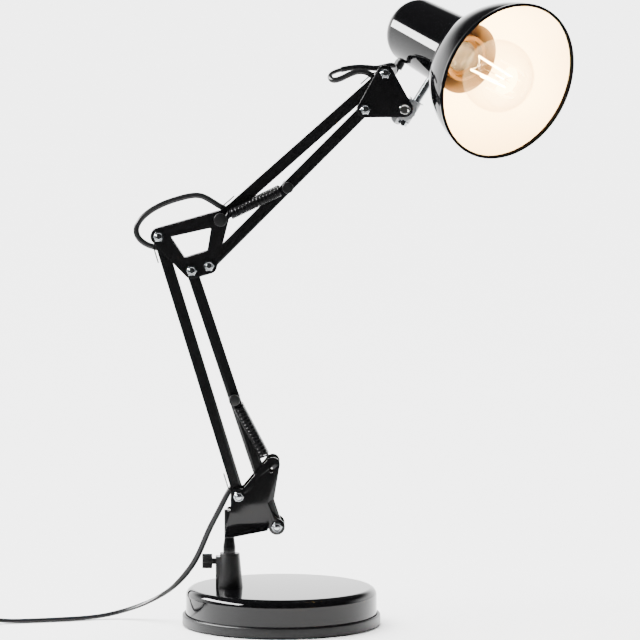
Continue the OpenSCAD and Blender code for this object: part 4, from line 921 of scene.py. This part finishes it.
class LAMP_OT_bulb(bpy.types.Operator):
    """Makes the clear bulb with its stem, light sticks and screw cap"""
    bl_idname = "lamp.bulb"
    bl_label = "Bulb"

    def glass(self, off):
        """(radius, height) of the glass from its tip to its foot, off inwards from the outside."""
        r = GLOBE_R - off
        leaves = math.radians(-30)
        a = (r * math.cos(leaves), GLOBE_Z + r * math.sin(leaves))
        b = (a[0] - 5, a[1] - 8.7)
        c = (GLASS_FOOT_R + 0.4 - off, GLOBE_Z - 31)
        d = (GLASS_FOOT_R - off, GLASS_FOOT_Z)
        turns = [math.radians(90 - 3 * i) for i in range(41)]
        out = [(0, GLOBE_Z + r)] + [(r * math.cos(t), GLOBE_Z + r * math.sin(t)) for t in turns[1:]]
        for i in range(1, 13):
            t, u = i / 12, 1 - i / 12
            out.append(tuple(u ** 3 * a[k] + 3 * u * u * t * b[k] + 3 * u * t * t * c[k] + t ** 3 * d[k]
                for k in (0, 1)))
        return out

    def globe(self, mesh, place):
        turned(mesh, self.glass(0) + self.glass(GLASS_WALL)[::-1], place, 96)

    def cap(self, mesh, place):
        """Rolled thread, its closed top and the contact below."""
        steps, rows, thread, pitch, fade_over = 64, 100, 0.5, 3.6, 2.0
        fade_from, fade_to = CAP_Z + 0.5, CAP_Z + 20.5
        rings = []
        for row in range(rows + 1):
            z = CAP_Z + CAP_LONG * row / rows
            fade = max(0, min(1, (z - fade_from) / fade_over, (fade_to - z) / fade_over))
            ring = []
            for k in range(steps):
                a = 2 * math.pi * k / steps
                r = CAP_R + thread * fade * math.sin(2 * math.pi * (z / pitch + k / steps))
                ring.append(mesh.verts.new(place @ (Vector((r * math.cos(a), r * math.sin(a), z)) * MM)))
            rings.append(ring)
        skinned(mesh, rings)
        mesh.faces.new(rings[-1])
        turned(mesh, [(CAP_R, CAP_Z), (9, 2), (5, 0), (0, 0)], place, steps)
        bmesh.ops.remove_doubles(mesh, verts=mesh.verts[:], dist=1e-6)

    def rods(self, mesh, place, thick, sides, points, count=4):
        """Round rods through (radius, height) points, set round the axis."""
        for i in range(count):
            spin = Matrix.Rotation(math.radians(45 + 90 * i), 4, "Z")
            run = [place @ (spin @ (Vector((r, 0, z)) * MM)) for r, z in points]
            swept(mesh, run, thick * MM, thick * MM, sides, across=place.to_3x3() @ Vector((0, 1, 0)))

    def sticks(self, mesh, place):
        low, high = Vector(STICK_FOOT), Vector(STICK_TOP)
        self.rods(mesh, place, 1.6, 12, [low.lerp(high, t) for t in (0, 0.04, 0.5, 0.96, 1)])

    def stem(self, mesh, place):
        turned(mesh, [(0, 26), (13.6, 26), (13.4, 27), (7, 31), (4.2, 37), (3.4, 43), (3.8, 46), (3, 48.5),
            (1.2, 49.5), (0, 49.5)], place, 48)

    def wires(self, mesh, place):
        sag = 0.8
        for reach, height in (STICK_FOOT, STICK_TOP):
            self.rods(mesh, place, 0.5, 8, [(reach * t, height - (1 - t) * sag) for t in (0, 0.5, 1)])
        run = [place @ (Vector((0, 0, z)) * MM) for z in (48, 63, 84.5)]
        swept(mesh, run, 0.6 * MM, 0.6 * MM, 8, across=place.to_3x3() @ Vector((0, 1, 0)))

    def execute(self, context):
        place = shade_place() @ Matrix.Translation((0, 0, BULB_FOOT * MM))
        for name, build, look, sharp, slot, nodes in (
                ("clear_globe", self.globe, "clear_glass", 60, "glass", ("bulb_glass",)),
                ("screw_cap", self.cap, "nickel_plate", 50, "cap_metal", ("bulb_cap",)),
                ("light_sticks", self.sticks, "lit_phosphor", 30, "filament", ("bulb_filaments",)),
                ("glass_stem", self.stem, "clear_glass", 40, "glass", ()),
                ("support_wires", self.wires, "nickel_plate", 30, "cap_metal", ())):
            mesh = bmesh.new()
            build(mesh, place)
            dressed(piece(name, mesh, look, sharp=sharp), slot, "shade_head", *nodes)
        return {"FINISHED"}


class LAMP_OT_nuts(bpy.types.Operator):
    """Sets a lock nut with a nylon ring on each pivot bolt"""
    bl_idname = "lamp.nuts"
    bl_label = "Lock nuts"

    def setting(self):
        """A tree that sets a part on each point."""
        tree, given = growing("lock_nuts", "Nuts", Places="Geometry", Part="Object", Finish="Material")
        part = put(tree, "GeometryNodeObjectInfo", {"Object": given["Part"]})
        on = put(tree, "GeometryNodeInstanceOnPoints", {"Points": given["Places"],
            "Instance": part.outputs["Geometry"]})
        ended(tree, on.outputs[0], given["Finish"])
        return tree

    def rings(self, rows, flats):
        """A turned form whose rows of (radius, height) are held inside a hexagon where flats is given."""
        mesh = bmesh.new()
        steps = 72
        made = []
        for r, z in rows:
            ring = []
            for k in range(steps):
                a = 2 * math.pi * k / steps
                off = (math.degrees(a) % 60) - 30
                far = min(r, flats / 2 / math.cos(math.radians(off))) if flats else r
                ring.append(mesh.verts.new(Vector((far * math.cos(a), -z, far * math.sin(a))) * MM))
            made.append(ring)
        skinned(mesh, made)
        return mesh

    def parts(self, flats, tall, bore):
        """A nut's body and its ring: width across flats, height and bore radius in mm."""
        hexagon = 0.7 * tall
        body = self.rings([(bore, 0.01), (flats * 0.54, 0.01), (flats * 0.575, 0.25),
            (flats * 0.58, hexagon - 0.45), (flats * 0.5, hexagon - 0.02), (flats * 0.47, hexagon),
            (flats * 0.46, tall - 0.5), (flats * 0.42, tall - 0.1), (flats * 0.39, tall),
            (flats * 0.37, tall - 0.05), (flats * 0.365, tall - 0.5)], flats)
        insert = self.rings([(flats * 0.365, tall - 0.5), (flats * 0.35, tall - 0.28),
            (bore + 0.2, tall - 0.25), (bore, tall - 0.4)], 0)
        return [piece("nut_body", body), piece("nut_ring", insert)]

    def add(self, mesh, tree, parts, places, stand=Matrix.Identity(4)):
        """Adds nuts to a bmesh, each body and ring with its finish."""
        for index, (part, look) in enumerate(zip(parts, ("zinc_plate", "nylon_ring"))):
            data = bpy.data.meshes.new("places")
            data.from_pydata(places, [], [])
            faces, verts = len(mesh.faces), len(mesh.verts)
            mesh.from_mesh(grown(tree, data, Part=part, Finish=FINISH[look]))
            mesh.faces.ensure_lookup_table()
            mesh.verts.ensure_lookup_table()
            bmesh.ops.transform(mesh, matrix=stand, verts=mesh.verts[verts:])
            for face in mesh.faces[faces:]:
                face.material_index = index

    def execute(self, context):
        tree = self.setting()
        large = self.parts(flats=8, tall=4.6, bore=2.52)
        small = self.parts(flats=7, tall=3.6, bore=2.02)
        plan = (("bracket_nuts", (REAR_PIVOT, FRONT_PIVOT), PLATE_OUT),
            ("elbow_nuts", (LOWER_TOP, FRONT_TOP, BOTTOM_FOOT), PAIR_OUT),
            ("head_nuts", (UPPER_TOP, BOTTOM_TOP), PAIR_OUT))
        for name, pivots, y in plan:
            mesh = bmesh.new()
            self.add(mesh, tree, large, [in_space(p, -y) for p in pivots])
            if name == "head_nuts":
                behind = Matrix.Translation(in_space(TILT_BOLT, PAIR_OUT)) @ Matrix.Rotation(math.pi, 4, "Z")
                self.add(mesh, tree, small, [Vector((0, 0, 0))], behind)
            made = piece("lock_" + name, mesh, "zinc_plate", "nylon_ring", sharp=28)
            dressed(made, "zinc_steel", frame["nodes"][name]["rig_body"], name)
        for part in large + small:
            bpy.data.objects.remove(part)
        return {"FINISHED"}


class LAMP_OT_metalwork(bpy.types.Operator):
    """Gives the solids their finishes and smooth faces"""
    bl_idname = "lamp.metalwork"
    bl_label = "Metalwork"

    def smoothing(self):
        """A tree that smooths faces but keeps steep edges."""
        tree, given = growing("smooth_faces", "Solid", Solid="Geometry")
        angle = put(tree, "GeometryNodeInputMeshEdgeAngle")
        steep = put(tree, "FunctionNodeCompare", {0: angle.outputs[0], 1: math.radians(28)},
            operation="GREATER_THAN")
        soft = put(tree, "GeometryNodeSetShadeSmooth", {"Geometry": given[0], "Shade Smooth": True})
        hard = put(tree, "GeometryNodeSetShadeSmooth", {"Geometry": soft.outputs[0],
            "Selection": steep.outputs[0], "Shade Smooth": False}, domain="EDGE")
        put(tree, "NodeGroupOutput", {0: hard.outputs[0]})
        return tree

    def execute(self, context):
        tree = self.smoothing()
        for look, names in LOOKS.items():
            for name in names:
                solid = frame["nodes"][name]
                solid.data.materials.clear()
                solid.data.materials.append(FINISH[look])
                weld = solid.modifiers.new("joined", "WELD")
                weld.merge_threshold = 1e-6
                smooth = solid.modifiers.new("smooth_faces", "NODES")
                smooth.node_group = tree
        return {"FINISHED"}


class LAMP_OT_stage(bpy.types.Operator):
    """Sets the pale floor and the soft light"""
    bl_idname = "lamp.stage"
    bl_label = "Stage"

    def lit(self, name, kind, place=(0, 0, 0), **settings):
        """A light with its settings."""
        light = bpy.data.lights.new(name, kind)
        for key, value in settings.items():
            setattr(light, key, value)
        made = bpy.data.objects.new(name, light)
        made.location = place
        bpy.context.scene.collection.objects.link(made)
        return made

    def area(self, name, place, aim, wide, tall, power):
        """A rectangular light, aimed."""
        made = self.lit(name, "AREA", place, shape="RECTANGLE", size=wide, size_y=tall, energy=power)
        made.rotation_euler = (Vector(aim) - Vector(place)).to_track_quat("-Z", "Y").to_euler()
        return made

    def floors(self):
        """A wide floor, and a near patch that alone shows in the gloss."""
        tree = shader("pale_paper")
        place = put(tree, "ShaderNodeTexCoord").outputs["Object"]
        noise = put(tree, "ShaderNodeTexNoise", {"Vector": place, "Scale": 3.0})
        tint = put(tree, "ShaderNodeMix", {"Factor": noise.outputs["Fac"], 6: [*linear("#f6f6f6"), 1],
            7: [*linear("#fafafa"), 1]}, data_type="RGBA")
        face = put(tree, "ShaderNodeBsdfPrincipled", {"Base Color": tint.outputs[2], "Roughness": 0.7})
        put(tree, "ShaderNodeOutputMaterial", {"Surface": face.outputs[0]})
        for name, size, low, mirrored in (("floor", 120, 0.0002, False), ("near_floor", 0.7, 0.0001, True)):
            mesh = bmesh.new()
            bmesh.ops.create_grid(mesh, x_segments=1, y_segments=1, size=size)
            data = bpy.data.meshes.new(name)
            mesh.to_mesh(data)
            mesh.free()
            data.materials.append(FINISH["pale_paper"])
            floor = bpy.data.objects.new(name, data)
            floor.location = (0, 0, -low)
            floor.visible_glossy = mirrored
            bpy.context.scene.collection.objects.link(floor)
            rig.stage(floor)

    def surroundings(self):
        """Air that is bright behind the lamp and near the horizon, and dim elsewhere."""
        world = bpy.data.worlds.new("studio")
        world.use_nodes = True
        air = world.node_tree
        air.nodes.clear()
        ways = put(air, "ShaderNodeSeparateXYZ", {0: put(air, "ShaderNodeTexCoord").outputs["Generated"]})
        back = put(air, "ShaderNodeMapRange", {"Value": ways.outputs[1], "From Min": -0.1, "From Max": 0.5,
            "To Min": 0.0, "To Max": 4.0}, interpolation_type="SMOOTHSTEP")
        low = put(air, "ShaderNodeMapRange", {"Value": ways.outputs[2], "From Min": 0.2, "From Max": 0.55,
            "To Min": 1.0, "To Max": 0.0}, interpolation_type="SMOOTHSTEP")
        glow = put(air, "ShaderNodeMath", {0: back.outputs[0], 1: low.outputs[0], 2: 0.05},
            operation="MULTIPLY_ADD")
        sky = put(air, "ShaderNodeBackground", {"Color": (1, 1, 1, 1), "Strength": glow.outputs[0]})
        put(air, "ShaderNodeOutputWorld", {"Surface": sky.outputs[0]})
        bpy.context.scene.world = world

    def execute(self, context):
        self.floors()
        self.surroundings()
        strip = self.area("left_softbox", place=(-1.8, -0.1, 1.2), aim=(0.1, 0, 0.45), wide=2.4, tall=0.55,
            power=380)
        strip.visible_diffuse = False
        overhead = self.lit("overhead", "SUN", energy=17.0, angle=math.radians(70))
        overhead.rotation_euler = (math.radians(-14), math.radians(-16), 0)
        overhead.visible_glossy = False
        fill = self.area("right_fill", place=(2.2, -1.0, 0.9), aim=(0, 0, 0.3), wide=0.9, tall=0.9, power=18)
        fill.visible_glossy = False
        bulb = shade_place() @ Vector((0, 0, (BULB_FOOT + LIGHT_Z) * MM))
        warm = self.lit("bulb_light", "POINT", bulb, energy=1.5, color=linear("#ffd89c"),
            shadow_soft_size=0.015)
        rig.ride(warm, "shade_head")
        return {"FINISHED"}


class LAMP_PT_panel(bpy.types.Panel):
    """Lists the lamp's pieces in the order they are made"""
    bl_label = "Desk lamp"
    bl_space_type = "VIEW_3D"
    bl_region_type = "UI"
    bl_category = "Lamp"

    def draw(self, context):
        for group in (context.scene.lamp_sizes, context.scene.lamp_colours):
            for name in group.__annotations__:
                self.layout.prop(group, name)
        for step in STEPS:
            self.layout.operator(step.bl_idname)


# The lead names edged pieces that lie on it, so the sheetwork comes before it
STEPS = (LAMP_OT_camera, LAMP_OT_sheetwork, LAMP_OT_lead, LAMP_OT_loops, LAMP_OT_springs, LAMP_OT_base,
    LAMP_OT_shade, LAMP_OT_bulb, LAMP_OT_nuts, LAMP_OT_metalwork, LAMP_OT_stage)
CLASSES = (LampSizes, LampColours) + STEPS + (LAMP_PT_panel,)


def register():
    for kind in CLASSES:
        bpy.utils.register_class(kind)
    bpy.types.Scene.lamp_sizes = bpy.props.PointerProperty(type=LampSizes)
    bpy.types.Scene.lamp_colours = bpy.props.PointerProperty(type=LampColours)


def unregister():
    del bpy.types.Scene.lamp_colours
    del bpy.types.Scene.lamp_sizes
    for kind in reversed(CLASSES):
        bpy.utils.unregister_class(kind)


def main():
    register()
    finishes()
    for step in STEPS:
        area, name = step.bl_idname.split(".")
        getattr(getattr(bpy.ops, area), name)()
    bpy.context.view_layer.update()
    sizes = {"cad": [list(v) for v in CAD_BOX], "visual": [list(v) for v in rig.bounds()]}
    with open("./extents.json", "w") as out:
        json.dump(sizes, out)


if __name__ == "__main__":
    main()
